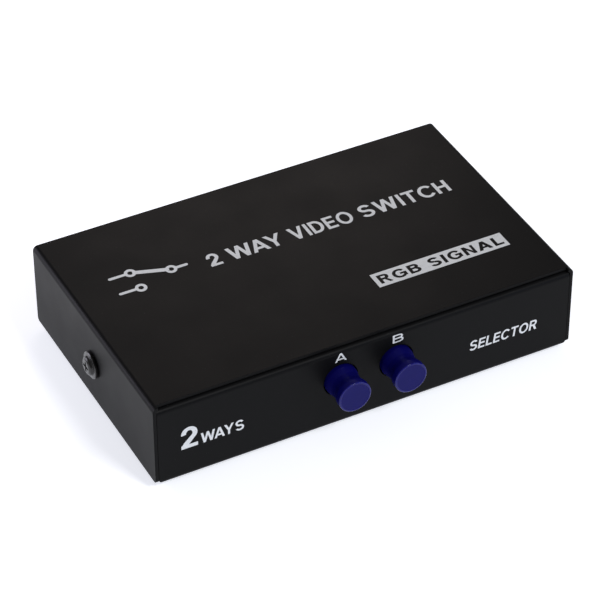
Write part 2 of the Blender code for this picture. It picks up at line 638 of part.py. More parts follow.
make_top_cover()
make_bottom_chassis()
make_feet()
make_cover_screws()
for label, place in VGA_X.items():
    make_vga_shell(label, place)
    make_vga_insulator(label, place)
make_jackscrews()
make_board()
make_board_mounts()
make_switch()
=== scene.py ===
"""Two-way video selector box: its looks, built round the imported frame. Metres, +Z up."""

import math

import bmesh
import bpy
from mathutils import Matrix, Vector
from mathutils.geometry import delaunay_2d_cdt


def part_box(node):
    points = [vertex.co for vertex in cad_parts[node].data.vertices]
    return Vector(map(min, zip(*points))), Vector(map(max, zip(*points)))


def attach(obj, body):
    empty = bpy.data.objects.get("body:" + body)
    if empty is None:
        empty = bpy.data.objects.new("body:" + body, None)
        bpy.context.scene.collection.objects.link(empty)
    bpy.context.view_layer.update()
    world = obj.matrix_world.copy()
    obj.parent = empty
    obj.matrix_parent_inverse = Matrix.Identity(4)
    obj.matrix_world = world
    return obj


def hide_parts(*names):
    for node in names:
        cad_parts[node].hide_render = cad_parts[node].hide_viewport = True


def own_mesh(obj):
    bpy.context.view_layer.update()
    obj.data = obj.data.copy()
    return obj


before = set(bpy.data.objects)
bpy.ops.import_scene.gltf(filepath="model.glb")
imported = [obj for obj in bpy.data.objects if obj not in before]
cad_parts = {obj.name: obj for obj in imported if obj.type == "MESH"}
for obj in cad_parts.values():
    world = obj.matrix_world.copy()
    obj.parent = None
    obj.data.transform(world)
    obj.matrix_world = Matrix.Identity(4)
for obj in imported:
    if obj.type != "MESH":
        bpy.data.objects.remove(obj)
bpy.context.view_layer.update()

# ---- studio ---------------------------------------------------------------------------------------------
# A plain pale floor that glows a little, like a light table, and soft boxes in a dim grey room. The camera
# looks down on the front left corner with a long lens.
MM = 0.001


def to_linear(code):
    """An sRGB hex colour as linear RGBA."""
    parts = [int(code[k : k + 2], 16) / 255 for k in (1, 3, 5)]
    return tuple(p / 12.92 if p <= 0.04045 else ((p + 0.055) / 1.055) ** 2.4 for p in parts) + (1.0,)


def add_node(tree, kind, values=None, **settings):
    """Adds a node. values gives its inputs a number, a hex colour or another node's output."""
    node = tree.nodes.new(kind)
    for name, setting in settings.items():
        setattr(node, name, setting)
    for key, value in (values or {}).items():
        if isinstance(value, bpy.types.NodeSocket):
            tree.links.new(value, node.inputs[key])
        else:
            node.inputs[key].default_value = to_linear(value) if isinstance(value, str) else value
    return node


def new_material(name, **settings):
    """A Principled material. Gives the material, its tree, its shader and the object's coordinates."""
    material = bpy.data.materials.new(name)
    material.use_nodes = True
    tree = material.node_tree
    tree.nodes.clear()
    shader = add_node(tree, "ShaderNodeBsdfPrincipled")
    for socket, value in settings.items():
        shader.inputs[socket.replace("_", " ")].default_value = value
    add_node(tree, "ShaderNodeOutputMaterial", {"Surface": shader.outputs["BSDF"]})
    place = add_node(tree, "ShaderNodeTexCoord").outputs["Object"]
    return material, tree, shader, place


def wire(tree, shader, **outputs):
    """Links outputs to the shader's inputs. An underscore in a name stands for a space."""
    for socket, output in outputs.items():
        tree.links.new(output, shader.inputs[socket.replace("_", " ")])


def link_object(name, data):
    piece = bpy.data.objects.new(name, data)
    bpy.context.scene.collection.objects.link(piece)
    return piece


def mesh_from(build):
    """A mesh made by build(bm) in millimetres, with its faces turned outwards."""
    bm = bmesh.new()
    build(bm)
    bmesh.ops.recalc_face_normals(bm, faces=bm.faces)
    bmesh.ops.scale(bm, vec=(MM, MM, MM), verts=bm.verts)
    mesh = bpy.data.meshes.new("mesh")
    bm.to_mesh(mesh)
    bm.free()
    return mesh


# Matte paper, in shades of white that change over 300 mm.
FLOOR_SIZE, FLOOR_GLOW, PAPER_CLOUD_MM = 6000, 0.63, 300
MIX_A, MIX_B, MIX_OUT = 6, 7, 2  # the colour sockets of a Mix node
floor_mesh = mesh_from(
    lambda bm: bmesh.ops.create_grid(bm, x_segments=1, y_segments=1, size=FLOOR_SIZE / 2)
)
floor = link_object("studio_floor", floor_mesh)
floor_paper, tree, shader, place = new_material(
    "pale_paper",
    Roughness=0.9,
    Specular_IOR_Level=0.1,
    Emission_Color=to_linear("#f5f8ff"),
    Emission_Strength=FLOOR_GLOW,
)
cloud = {"Vector": place, "Scale": 1 / (PAPER_CLOUD_MM * MM), "Detail": 3}
cloud = add_node(tree, "ShaderNodeTexNoise", cloud).outputs["Fac"]
whites = {"Factor": cloud, MIX_A: "#e9e9e9", MIX_B: "#ececec"}
wire(tree, shader, Base_Color=add_node(tree, "ShaderNodeMix", whites, data_type="RGBA").outputs[MIX_OUT])
floor.data.materials.append(floor_paper)


def soft_box(name, at, aim, size, power, tint="#ffffff"):
    """A square area light at a place, aimed at a point, both in metres."""
    lamp = bpy.data.lights.new(name, "AREA")
    lamp.size, lamp.energy, lamp.color = size, power, to_linear(tint)[:3]
    light = link_object(name, lamp)
    light.location = at
    light.rotation_mode = "QUATERNION"
    light.rotation_quaternion = (Vector(aim) - Vector(at)).to_track_quat("-Z", "Y")


BOX_CENTRE = (0, 0, 0.015)
soft_box("overhead_box", (0.25, -0.85, 0.95), BOX_CENTRE, 0.25, 6.5)
soft_box("left_box", (-0.24, 0.2, 0.1), (-0.06, 0.05, 0.015), 0.15, 0.4, "#f0ecff")
soft_box("right_front_box", (0.9, -0.9, 0.3), BOX_CENTRE, 0.5, 3.0, "#b9d0ff")
soft_box("back_box", (0.14, 0.33, 0.25), (0.02, 0.06, 0.03), 0.2, 0.27, "#fff2ec")

room = bpy.data.worlds.new("grey_room")
room.use_nodes = True
room.node_tree.nodes["Background"].inputs["Color"].default_value = to_linear("#ffffff")
room.node_tree.nodes["Background"].inputs["Strength"].default_value = 0.25
bpy.context.scene.world = room
bpy.context.scene.view_settings.view_transform = "Standard"

CAMERA_PLACE, LENS_MM, SENSOR_MM = Vector((-0.29971, -0.57617, 0.53821)), 174.45, 36
AZIMUTH, ELEVATION, ROLL = math.radians(-27.37), math.radians(38.85), math.radians(-0.22)
level = math.cos(ELEVATION)
look = -Vector((math.sin(AZIMUTH) * level, -math.cos(AZIMUTH) * level, math.sin(ELEVATION)))
level_right = look.cross(Vector((0, 0, 1))).normalized()
level_up = level_right.cross(look)
right = level_right * math.cos(ROLL) + level_up * math.sin(ROLL)
up = right.cross(look)
lens = bpy.data.cameras.new("long_lens")
lens.sensor_width, lens.lens = SENSOR_MM, LENS_MM
lens.clip_start, lens.clip_end = 0.01, 20
camera = link_object("camera", lens)
camera.matrix_world = Matrix((right, up, -look)).transposed().to_4x4()
camera.location = CAMERA_PLACE
bpy.context.scene.camera = camera

# ---- bottom tray ----------------------------------------------------------------------------------------
# One piece of 1 mm steel sheet, folded into a tray: front panel, floor and rear panel. It is sprayed and
# baked with a matte black enamel, which rounds every cut edge a little.
CASE_W, SHEET, BEND_R, BEND_STEPS = 131.5, 1.0, 1.6, 10


def limits(node):
    """The lowest and highest corners of one of the frame's nodes, in millimetres."""
    return [Vector(corner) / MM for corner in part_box(node)]


tray_low, tray_high = limits("bottom_chassis")
cover_low, cover_high = limits("top_cover")
Y_FRONT, Y_REAR, Z_UNDER, Z_TOP = tray_low.y, tray_high.y, tray_low.z, cover_high.z
Y_MID = (Y_FRONT + Y_REAR) / 2
Z_BUTTON, Z_SCREW, Z_VGA = Z_TOP - 11.8, Z_TOP - 14.05, 16.0
BUTTON_PITCH, BUTTON_HOLE_R = 17.5, 5.4
BUTTON_X = {"a": -BUTTON_PITCH / 2, "b": BUTTON_PITCH / 2}
# Each socket's panel hole lies between the holes for its two screwlock studs.
VGA_PITCH, STUD_SIDE, STUD_HOLE_R, SHROUD_CLEARANCE = 38.0, 12.5, 1.7, 0.35
VGA_X = {"a": -VGA_PITCH, "out": 0.0, "b": VGA_PITCH}
STUD_X = [x + side * STUD_SIDE for x in VGA_X.values() for side in (-1, 1)]
# The ears stand on the floor just inside the cover's sides, and take the side screws.
EAR_X, EAR_HALF, EAR_SINK, EAR_ABOVE, EAR_HOLE_R = 64.4, 8, 0.3, 6, 2.0


def arc(centre, radius, start, end, steps=BEND_STEPS):
    """Points on an arc, angles in degrees."""
    angles = [math.radians(start + (end - start) * k / steps) for k in range(steps + 1)]
    return [(centre[0] + radius * math.cos(a), centre[1] + radius * math.sin(a)) for a in angles]


def prism(outline, axis, low, high):
    """An outline pushed along an axis. Its points are (y, z), (x, z) or (x, y) for X, Y or Z."""
    order = {"X": (2, 0, 1), "Y": (0, 2, 1), "Z": (0, 1, 2)}[axis]

    def build(bm):
        rings = [[bm.verts.new([(u, v, w)[k] for k in order]) for u, v in outline] for w in (low, high)]
        bm.faces.new(rings[0])
        bm.faces.new(rings[1])
        for k in range(len(outline)):
            n = (k + 1) % len(outline)
            bm.faces.new([rings[0][k], rings[0][n], rings[1][n], rings[1][k]])

    return mesh_from(build)


def box(low, high):
    outline = [(low[0], low[1]), (high[0], low[1]), (high[0], high[1]), (low[0], high[1])]
    return prism(outline, "Z", low[2], high[2])


def turned(profile, axis, at=(0, 0, 0), sides=48):
    """Spins (distance along the axis, radius) points about an axis through a point."""
    turn = {
        "X": Matrix.Rotation(math.pi / 2, 3, "Y"),
        "Y": Matrix.Rotation(-math.pi / 2, 3, "X"),
        "Z": Matrix.Identity(3),
    }[axis]

    def build(bm):
        rings = []
        for along, radius in profile:
            count = sides if radius > 0 else 1
            angles = [2 * math.pi * k / count for k in range(count)]
            ring = [(radius * math.cos(a), radius * math.sin(a), along) for a in angles]
            rings.append([bm.verts.new(point) for point in ring])
        for a, b in zip(rings, rings[1:]):
            for k in range(sides):
                n = (k + 1) % sides
                corners = [a[k % len(a)], a[n % len(a)], b[n % len(b)], b[k % len(b)]]
                bm.faces.new(list(dict.fromkeys(corners)))
        bmesh.ops.rotate(bm, matrix=turn, verts=bm.verts)
        bmesh.ops.translate(bm, vec=at, verts=bm.verts)

    return mesh_from(build)


def drill(axis, at, radius, low, high, sides=32):
    """The tool that leaves a plain round hole."""
    return turned([(low, 0), (low, radius), (high, radius), (high, 0)], axis, at, sides)


def bake(piece):
    """Gives a piece the mesh that its modifiers make, and removes them."""
    mesh = bpy.data.meshes.new_from_object(piece.evaluated_get(bpy.context.evaluated_depsgraph_get()))
    piece.modifiers.clear()
    piece.data = mesh


def join_and_cut(piece, joined=(), cut=(), kept=()):
    """Boolean unions, cuts, and what is kept inside a mesh, with meshes as the tools."""
    tools = []
    for meshes, operation in ((joined, "UNION"), (cut, "DIFFERENCE"), (kept, "INTERSECT")):
        for mesh in meshes:
            tools.append(link_object("tool", mesh))
            step = piece.modifiers.new("step", "BOOLEAN")
            step.object, step.operation, step.solver = tools[-1], operation, "EXACT"
    bake(piece)
    for tool in tools:
        bpy.data.objects.remove(tool)


def soften(piece, edge_mm, angle=40, segments=2):
    """Rounds the sharp edges, and shades the piece so that its flat faces stay flat."""
    if edge_mm:
        rounding = piece.modifiers.new("edges", "BEVEL")
        rounding.width, rounding.segments = edge_mm * MM, segments
        rounding.limit_method, rounding.angle_limit = "ANGLE", math.radians(angle)
        bake(piece)
    piece.data.shade_smooth()
    piece.data.set_sharp_from_angle(angle=math.radians(angle))
    piece.modifiers.new("flat_faces", "WEIGHTED_NORMAL").keep_sharp = True
    bake(piece)


def fit(piece, material, body, slot, *nodes):
    """Gives a finished piece its material, and sets it on its body in place of the frame's own nodes."""
    piece.data.materials.clear()
    piece.data.materials.append(material)
    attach(piece, body)
    if nodes:
        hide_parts(*nodes)


# Matte black stoving enamel on steel: almost no colour, a wide dull sheen, and the faint orange peel and
# dust nibs of a sprayed coat. The peel is drawn at 0.5 mm, about twice its real size, so that it shows.
PEEL_MM, PEEL_DEPTH_MM, CLOUD_MM, DUST_MM = 0.5, 0.012, 18, 0.35
black_enamel, tree, shader, place = new_material("black_stoving_enamel", Specular_IOR_Level=0.075)
peel, cloud, dust = [
    add_node(
        tree, "ShaderNodeTexNoise", {"Vector": place, "Scale": 1 / (mm * MM), "Detail": detail}
    ).outputs["Fac"]
    for mm, detail in ((PEEL_MM, 2), (CLOUD_MM, 3), (DUST_MM, 0))
]
nibs = {"Value": dust, "From Min": 0.8, "From Max": 0.86, "To Max": 0.4}
nibs = add_node(tree, "ShaderNodeMapRange", nibs).outputs[0]
coat = {"Factor": cloud, MIX_A: "#09090a", MIX_B: "#0d0d0e"}
coat = add_node(tree, "ShaderNodeMix", coat, data_type="RGBA").outputs[MIX_OUT]
dusty_coat = {"Factor": nibs, MIX_A: coat, MIX_B: "#3c3c3c"}
sheen = {"Value": cloud, "From Min": 0.3, "From Max": 0.7, "To Min": 0.4, "To Max": 0.47}
relief = {"Height": peel, "Strength": 0.5, "Distance": PEEL_DEPTH_MM * MM}
wire(
    tree,
    shader,
    Base_Color=add_node(tree, "ShaderNodeMix", dusty_coat, data_type="RGBA").outputs[MIX_OUT],
    Roughness=add_node(tree, "ShaderNodeMapRange", sheen).outputs[0],
    Normal=add_node(tree, "ShaderNodeBump", relief).outputs[0],
)


def tray_section(flange=7.0):
    """The tray's section seen from the right, with flanges folded in along its top."""
    high, inner_r = tray_high.z, BEND_R - SHEET
    front, rear = Y_FRONT + BEND_R, Y_REAR - BEND_R
    low_bend, high_bend = Z_UNDER + BEND_R, high - BEND_R
    outside = arc((front, high_bend), BEND_R, 90, 180) + arc((front, low_bend), BEND_R, 180, 270)
    outside += arc((rear, low_bend), BEND_R, 270, 360) + arc((rear, high_bend), BEND_R, 0, 90)
    inside = arc((rear, high_bend), inner_r, 90, 0) + arc((rear, low_bend), inner_r, 360, 270)
    inside += arc((front, low_bend), inner_r, 270, 180) + arc((front, high_bend), inner_r, 180, 90)
    rear_lip = [(Y_REAR - flange, high), (Y_REAR - flange, high - SHEET)]
    front_lip = [(Y_FRONT + flange, high - SHEET), (Y_FRONT + flange, high)]
    return outside + rear_lip + inside + front_lip


SHROUD_W, SHROUD_H, SHROUD_R, SHROUD_SLOPE = 16.33, 7.9, 2.6, 10


def shroud_outline(x, grow, steps=8):
    """The D of a 15-way socket's shroud, wide side up, as (x, z) points with rounded corners."""
    half_top, half_high, corner_r = SHROUD_W / 2 + grow, SHROUD_H / 2 + grow, SHROUD_R + grow
    half_low = half_top - 2 * half_high * math.tan(math.radians(SHROUD_SLOPE))
    corners = [(-half_low, -half_high), (half_low, -half_high)]
    corners += [(half_top, half_high), (-half_top, half_high)]
    points = []
    for k, here in enumerate(corners):
        here, before, after = Vector(here), Vector(corners[k - 1]), Vector(corners[(k + 1) % 4])
        into, out = (here - before).normalized(), (after - here).normalized()
        turn = into.angle(out)
        start = here - into * corner_r * math.tan(turn / 2)
        centre = start + Vector((-into.y, into.x)) * corner_r
        first = math.degrees(math.atan2(start.y - centre.y, start.x - centre.x))
        points += arc(centre, corner_r, first, first + math.degrees(turn), steps)
    return [(x + u, Z_VGA + v) for u, v in points]


CORNER_R, SIDE_GAP, CORNER_STEPS = 2.0, 0.1, 8
TRAY_HALF = CASE_W / 2 - SHEET - SIDE_GAP


def corner_trim(side):
    """What is nibbled off a lower corner of the front panel, to leave it rounded."""
    x, centre = side * TRAY_HALF, (side * (TRAY_HALF - CORNER_R), Z_UNDER + CORNER_R)
    curve = arc(centre, CORNER_R, 270, 360 if side > 0 else 180, CORNER_STEPS)
    outer = [(x + side, centre[1]), (x + side, Z_UNDER - 1), (centre[0], Z_UNDER - 1)]
    return prism(curve + outer, "Y", Y_FRONT - 1, Y_FRONT + BEND_R)


tray = link_object("bottom_tray", prism(tray_section(), "X", -TRAY_HALF, TRAY_HALF))
ears = []
for side in (-1, 1):
    inner, outer = sorted((side * EAR_X, side * (EAR_X - SHEET)))
    low = (inner, Y_MID - EAR_HALF, Z_UNDER + EAR_SINK)
    ears.append(box(low, (outer, Y_MID + EAR_HALF, Z_SCREW + EAR_ABOVE)))
holes = [drill("Y", (x, Y_FRONT, Z_BUTTON), BUTTON_HOLE_R, -1, 1.5, sides=72) for x in BUTTON_X.values()]
holes += [prism(shroud_outline(x, SHROUD_CLEARANCE), "Y", Y_REAR - 1.5, Y_REAR + 1) for x in VGA_X.values()]
holes += [drill("Y", (x, Y_REAR, Z_VGA), STUD_HOLE_R, -1.5, 1, sides=24) for x in STUD_X]
holes.append(drill("X", (0, Y_MID, Z_SCREW), EAR_HOLE_R, -CASE_W / 2, CASE_W / 2))
join_and_cut(tray, ears, holes + [corner_trim(-1), corner_trim(1)])
SHEET_EDGE_R = 0.12
soften(tray, SHEET_EDGE_R)
fit(tray, black_enamel, "case", "black_paint", "bottom_chassis")

# ---- rubber feet ----------------------------------------------------------------------------------------
# Four die-cut rubber discs, stuck under the corners with their own adhesive.
FOOT_R, FOOT_T = 4.5, 1.5
foot_low, foot_high = limits("rubber_foot_1")
FOOT_X, FOOT_Y = abs(foot_low.x + foot_high.x), 2 * (Y_MID - (foot_low.y + foot_high.y) / 2)


def rounded(points, steps=5):
    """A polyline of (along, radius, fillet) points, with each corner replaced by an arc of its fillet."""
    line = []
    for k, (along, radius, fillet) in enumerate(points):
        if fillet == 0:
            line.append((along, radius))
            continue
        here, before, after = Vector((along, radius)), Vector(points[k - 1][:2]), Vector(points[k + 1][:2])
        into, out = (here - before).normalized(), (after - here).normalized()
        turn, side = into.angle(out), 1 if into.x * out.y > into.y * out.x else -1
        start = here - into * fillet * math.tan(turn / 2)
        centre = start + Vector((-into.y, into.x)) * fillet * side
        first = math.degrees(math.atan2(start.y - centre.y, start.x - centre.x))
        line += arc(centre, fillet, first, first + side * math.degrees(turn), steps)
    return line


def geometry_tree(name, sizes):
    """A Geometry Nodes tree that takes a geometry, named sizes and a material, and gives a geometry."""
    tree = bpy.data.node_groups.new(name, "GeometryNodeTree")
    tree.interface.new_socket("Geometry", in_out="INPUT", socket_type="NodeSocketGeometry")
    for label, kind in sizes.items():
        tree.interface.new_socket(label, in_out="INPUT", socket_type="NodeSocket" + kind)
    tree.interface.new_socket("Material", in_out="INPUT", socket_type="NodeSocketMaterial")
    tree.interface.new_socket("Geometry", in_out="OUTPUT", socket_type="NodeSocketGeometry")
    return tree, add_node(tree, "NodeGroupInput")


def end_tree(tree, given, instances):
    """Realizes the instances, gives them the material, and ends the tree."""
    real = add_node(tree, "GeometryNodeRealizeInstances", {"Geometry": instances})
    values = {"Geometry": real.outputs[0], "Material": given.outputs["Material"]}
    painted = add_node(tree, "GeometryNodeSetMaterial", values)
    add_node(tree, "NodeGroupOutput", {"Geometry": painted.outputs[0]})


def run_tree(piece, tree, **sizes):
    """Puts the tree on a piece with these sizes, and keeps the plain mesh that comes out."""
    modifier = piece.modifiers.new(tree.name, "NODES")
    modifier.node_group = tree
    for socket in tree.interface.items_tree:
        label = socket.name.replace(" ", "_")
        if socket.in_out == "INPUT" and label in sizes:
            modifier[socket.identifier] = sizes[label]
    bake(piece)


# Copies of one piece on the points of a grid that lies flat and is centred on a point.
grid_sizes = {"Columns": "Int", "Rows": "Int", "Width": "Float", "Depth": "Float", "Centre": "Vector"}
copies_on_grid, given = geometry_tree("copies_on_grid", grid_sizes)
grid = add_node(
    copies_on_grid,
    "GeometryNodeMeshGrid",
    {
        "Size X": given.outputs["Width"],
        "Size Y": given.outputs["Depth"],
        "Vertices X": given.outputs["Columns"],
        "Vertices Y": given.outputs["Rows"],
    },
)
centred = {"Geometry": grid.outputs[0], "Translation": given.outputs["Centre"]}
points = add_node(copies_on_grid, "GeometryNodeTransform", centred).outputs[0]
each = {"Points": points, "Instance": given.outputs["Geometry"]}
copies = add_node(copies_on_grid, "GeometryNodeInstanceOnPoints", each)
end_tree(copies_on_grid, given, copies.outputs[0])

# Black rubber, cut from sheet: no gloss, a fine cloth-pressed grain, and grey dust in its pores.
RUBBER_GRAIN_MM, RUBBER_DEPTH_MM = 0.4, 0.05
black_rubber, tree, shader, place = new_material(
    "black_sheet_rubber", Roughness=0.85, Specular_IOR_Level=0.25
)
grain = {"Vector": place, "Scale": 1 / (RUBBER_GRAIN_MM * MM), "Detail": 2}
grain = add_node(tree, "ShaderNodeTexNoise", grain).outputs["Fac"]
pores = {"Value": grain, "From Min": 0.45, "From Max": 0.75}
pores = add_node(tree, "ShaderNodeMapRange", pores).outputs[0]
dusty = {"Factor": pores, MIX_A: "#141414", MIX_B: "#2c2c2b"}
relief = {"Height": grain, "Strength": 0.6, "Distance": RUBBER_DEPTH_MM * MM}
wire(
    tree,
    shader,
    Base_Color=add_node(tree, "ShaderNodeMix", dusty, data_type="RGBA").outputs[MIX_OUT],
    Normal=add_node(tree, "ShaderNodeBump", relief).outputs[0],
)

FOOT_PROFILE = [(0, 0, 0), (0, 3.9, 0.15), (0.35, FOOT_R, 0.3), (FOOT_T, FOOT_R, 0), (FOOT_T, 0, 0)]
feet = link_object("rubber_feet", turned(rounded(FOOT_PROFILE), "Z"))
run_tree(
    feet,
    copies_on_grid,
    Columns=2,
    Rows=2,
    Width=FOOT_X * MM,
    Depth=FOOT_Y * MM,
    Centre=(0, Y_MID * MM, 0),
    Material=black_rubber,
)
soften(feet, 0)
fit(feet, black_rubber, "case", "black_rubber", *[f"rubber_foot_{n}" for n in range(1, 5)])

# ---- circuit board --------------------------------------------------------------------------------------
# A 1.6 mm glass-epoxy board across the whole tray. Its sockets hold its back edge, and two screws into
# clinched hexagonal standoffs hold its front corners.
board_low, board_high = limits("circuit_board")
standoff_low, standoff_high = limits("standoff_right")
standoff_mid = (standoff_low + standoff_high) / 2
BOARD_SCREW_X, BOARD_SCREW_Y = standoff_mid.x, standoff_mid.y
BOARD_HOLE_R, BOARD_EDGE_R = 1.8, 0.06

# Green solder mask over etched copper: glossy, and paler in runs where the mask lies on copper. The runs
# are 2 mm apart, the pitch of the switch's own terminals.
RUN_PITCH_MM, COPPER_MM, BLOTCH_MM = 2.0, 0.035, 9
WAVE_PERIOD = 0.314  # what a Wave texture of scale 1 repeats at
green_mask, tree, shader, place = new_material("green_solder_mask", Roughness=0.28, Coat_Weight=0.4)
runs = {"Vector": place, "Scale": WAVE_PERIOD / (RUN_PITCH_MM * MM), "Distortion": 1.5, "Detail": 0.0}
runs = add_node(tree, "ShaderNodeTexWave", runs).outputs["Fac"]
copper = add_node(tree, "ShaderNodeMapRange", {"Value": runs, "From Min": 0.45, "From Max": 0.6}).outputs[0]
blotch = {"Vector": place, "Scale": 1 / (BLOTCH_MM * MM), "Detail": 3}
blotch = add_node(tree, "ShaderNodeTexNoise", blotch).outputs["Fac"]
mask = {"Factor": blotch, MIX_A: "#0b4a26", MIX_B: "#0e5a2e"}
mask = add_node(tree, "ShaderNodeMix", mask, data_type="RGBA").outputs[MIX_OUT]
mask_on_copper = {"Factor": copper, MIX_A: mask, MIX_B: "#2a8a4a"}
relief = {"Height": copper, "Strength": 0.4, "Distance": COPPER_MM * MM}
wire(
    tree,
    shader,
    Base_Color=add_node(tree, "ShaderNodeMix", mask_on_copper, data_type="RGBA").outputs[MIX_OUT],
    Normal=add_node(tree, "ShaderNodeBump", relief).outputs[0],
)

board = link_object("circuit_board_panel", box(board_low, board_high))
board_corners = [(side * BOARD_SCREW_X, BOARD_SCREW_Y, board_low.z) for side in (-1, 1)]
join_and_cut(board, cut=[drill("Z", corner, BOARD_HOLE_R, -1, 3) for corner in board_corners])
soften(board, BOARD_EDGE_R)
fit(board, green_mask, "case", "board_green", "circuit_board")


def mottled_material(
    name, colours, roughness, patches, grain=None, stretch=(1, 1, 1), low=0.3, relief=None, **settings
):
    """A material whose colour varies in soft patches, and its roughness with them or with a finer grain.

    patches and grain are a size in mm and a detail. relief is the grain's bump strength and depth in mm.
    """
    material, tree, shader, place = new_material(name, **settings)
    layers = [(place, *patches)]
    if grain:
        stretched = add_node(tree, "ShaderNodeMapping", {"Vector": place, "Scale": stretch})
        layers.append((stretched.outputs[0], *grain))
    factors = []
    for vector, size, detail in layers:
        values = {"Vector": vector, "Scale": 1 / (size * MM), "Detail": detail}
        factors.append(add_node(tree, "ShaderNodeTexNoise", values).outputs["Fac"])
    tones = {"Factor": factors[0], MIX_A: colours[0], MIX_B: colours[1]}
    tones = add_node(tree, "ShaderNodeMix", tones, data_type="RGBA").outputs[MIX_OUT]
    shine = {"Value": factors[-1], "From Min": low, "From Max": 0.7}
    shine |= {"To Min": roughness[0], "To Max": roughness[1]}
    wire(tree, shader, Base_Color=tones, Roughness=add_node(tree, "ShaderNodeMapRange", shine).outputs[0])
    if relief:
        bumps = {"Height": factors[-1], "Strength": relief[0], "Distance": relief[1] * MM}
        wire(tree, shader, Normal=add_node(tree, "ShaderNodeBump", bumps).outputs[0])
    return material


# Zinc plate, bright and slightly blue, with the cloudy patches of barrel plating.
zinc_plate = mottled_material(
    "bright_zinc_plate", ("#a9abae", "#c6c9cc"), (0.24, 0.4), (2.5, 3), Metallic=1.0
)


def copy_of(node, name, edge_mm):
    """A merged and softened copy of a frame node, as a new piece."""
    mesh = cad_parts[node].data.copy()
    bm = bmesh.new()
    bm.from_mesh(mesh)
    bmesh.ops.remove_doubles(bm, verts=bm.verts, dist=1e-6)
    bmesh.ops.dissolve_limit(bm, angle_limit=math.radians(1), verts=bm.verts, edges=bm.edges)
    bm.to_mesh(mesh)
    bm.free()
    piece = link_object(name, mesh)
    soften(piece, edge_mm)
    return piece


def cross_recess(size, width, depth, taper=0.55):
    """Two crossed bars that narrow inwards: the tool that leaves a cross recess in a head at Z = 0."""
    quarter = [(size, -width), (size, width), (width, width)]
    outline = [
        (u * c - v * s, u * s + v * c) for c, s in ((1, 0), (0, 1), (-1, 0), (0, -1)) for u, v in quarter
    ]

    def build(bm):
        top = [bm.verts.new((u, v, 1.0)) for u, v in outline]
        low = [bm.verts.new((u * taper, v * taper, -depth)) for u, v in outline]
        bm.faces.new(top)
        bm.faces.new(low)
        for k in range(len(outline)):
            n = (k + 1) % len(outline)
            bm.faces.new([top[k], low[k], low[n], top[n]])

    return mesh_from(build)


def threads(start, end, outer, pitch, depth):
    """Points of a thread's section, from start to end along the axis."""
    count = int(abs(end - start) / pitch)
    step = (end - start) / count
    points = []
    for k in range(count):
        points += [(start + step * k, outer - depth), (start + step * (k + 0.5), outer)]
    return points + [(end, outer - depth)]


# M3 screws with pan heads.
PAN_HEAD = [(2.1, 0, 0), (2.1, 1.55, 0.35), (1.5, 2.4, 0.5), (0.7, 2.75, 0.3), (0.0, 2.7, 0), (0.0, 1.5, 0)]
PAN_HEAD_H, PAN_HEAD_LIFT = 2.1, 0.3
pan_thread = threads(start=-0.4, end=-3.9, outer=1.5, pitch=0.5, depth=0.25)
pan_screw_line = rounded(PAN_HEAD) + pan_thread + [(-4.2, 1.0), (-4.2, 0)]
for name, side in (("left", -1), ("right", 1)):
    standoff = copy_of("standoff_" + name, "hex_standoff_" + name, 0.15)
    fit(standoff, zinc_plate, "case", "zinc_plate", "standoff_" + name)
    screw = link_object("pan_screw_" + name, turned(pan_screw_line, "Z"))
    recess = cross_recess(size=1.3, width=0.32, depth=1.0)
    recess.transform(Matrix.Translation((0, 0, PAN_HEAD_H * MM)))
    join_and_cut(screw, cut=[recess])
    seat = Vector((side * BOARD_SCREW_X, BOARD_SCREW_Y, board_high.z + PAN_HEAD_LIFT))
    screw.data.transform(Matrix.Translation(seat * MM))
    soften(screw, 0)
    fit(screw, zinc_plate, "case", "zinc_plate", "board_screw_" + name)

# Tin solder: a bright, soft-edged metal, dulled by its flux.
tin_solder = mottled_material("tin_solder", ("#a5a7a6", "#c9cac6"), (0.2, 0.5), (0.6, 2), Metallic=1.0)
# One joint under the board: a pin's end stands out of its cone of solder.
CONE = [(-0.01, 0), (-0.01, 0.78), (-0.12, 0.72), (-0.6, 0.42), (-0.95, 0.32)]
JOINT_PROFILE = CONE + [(-1.6, 0.3), (-1.75, 0)]
# Each field of joints: its columns and rows, their pitches, and the y of its centre.
CONTACT_PITCH = 2.29
SOCKET_FIELD = (5, 3, CONTACT_PITCH, 2.54, 32)
SWITCH_FIELD = (2, 15, 5, RUN_PITCH_MM, 1)
fields = [("socket_joints_" + label, x, SOCKET_FIELD) for label, x in VGA_X.items()]
fields += [("switch_joints_" + label, x, SWITCH_FIELD) for label, x in BUTTON_X.items()]
for name, x, (columns, rows, column_pitch, row_pitch, y) in fields:
    joints = link_object(name, turned(JOINT_PROFILE, "Z", sides=12))
    run_tree(
        joints,
        copies_on_grid,
        Columns=columns,
        Rows=rows,
        Width=(columns - 1) * column_pitch * MM,
        Depth=(rows - 1) * row_pitch * MM,
        Centre=(x * MM, y * MM, board_low.z * MM),
        Material=tin_solder,
    )
    soften(joints, 0)
    fit(joints, tin_solder, "case", "zinc_plate")

# ---- video sockets --------------------------------------------------------------------------------------
# Three 15-way sockets along the rear: a drawn and nickel-plated steel shell round a blue moulded body, with
# a formed contact at the bottom of each hole.
shell_high = limits("vga_shell_out")[1]
moulding_low, moulding_high = limits("vga_insulator_out")
FLANGE_HALF_W, FLANGE_HALF_H, FLANGE_T, SHROUD_LEN, SHROUD_WALL = 15.4, 6.25, 0.8, 5.9, 0.5
EARS_HALF_W, EARS_HALF_H, EARS_T, BODY_HALF_W, BODY_ABOVE, BODY_GAP = 15.2, 6.1, 3, 9.5, 5.6, 0.3
Y_FLANGE, Y_FACE = shell_high.y - SHROUD_LEN, moulding_high.y
Y_EARS = Y_FLANGE - FLANGE_T - BODY_GAP
CONTACT_ROW, CONTACT_SHIFT = 1.98, 0.57

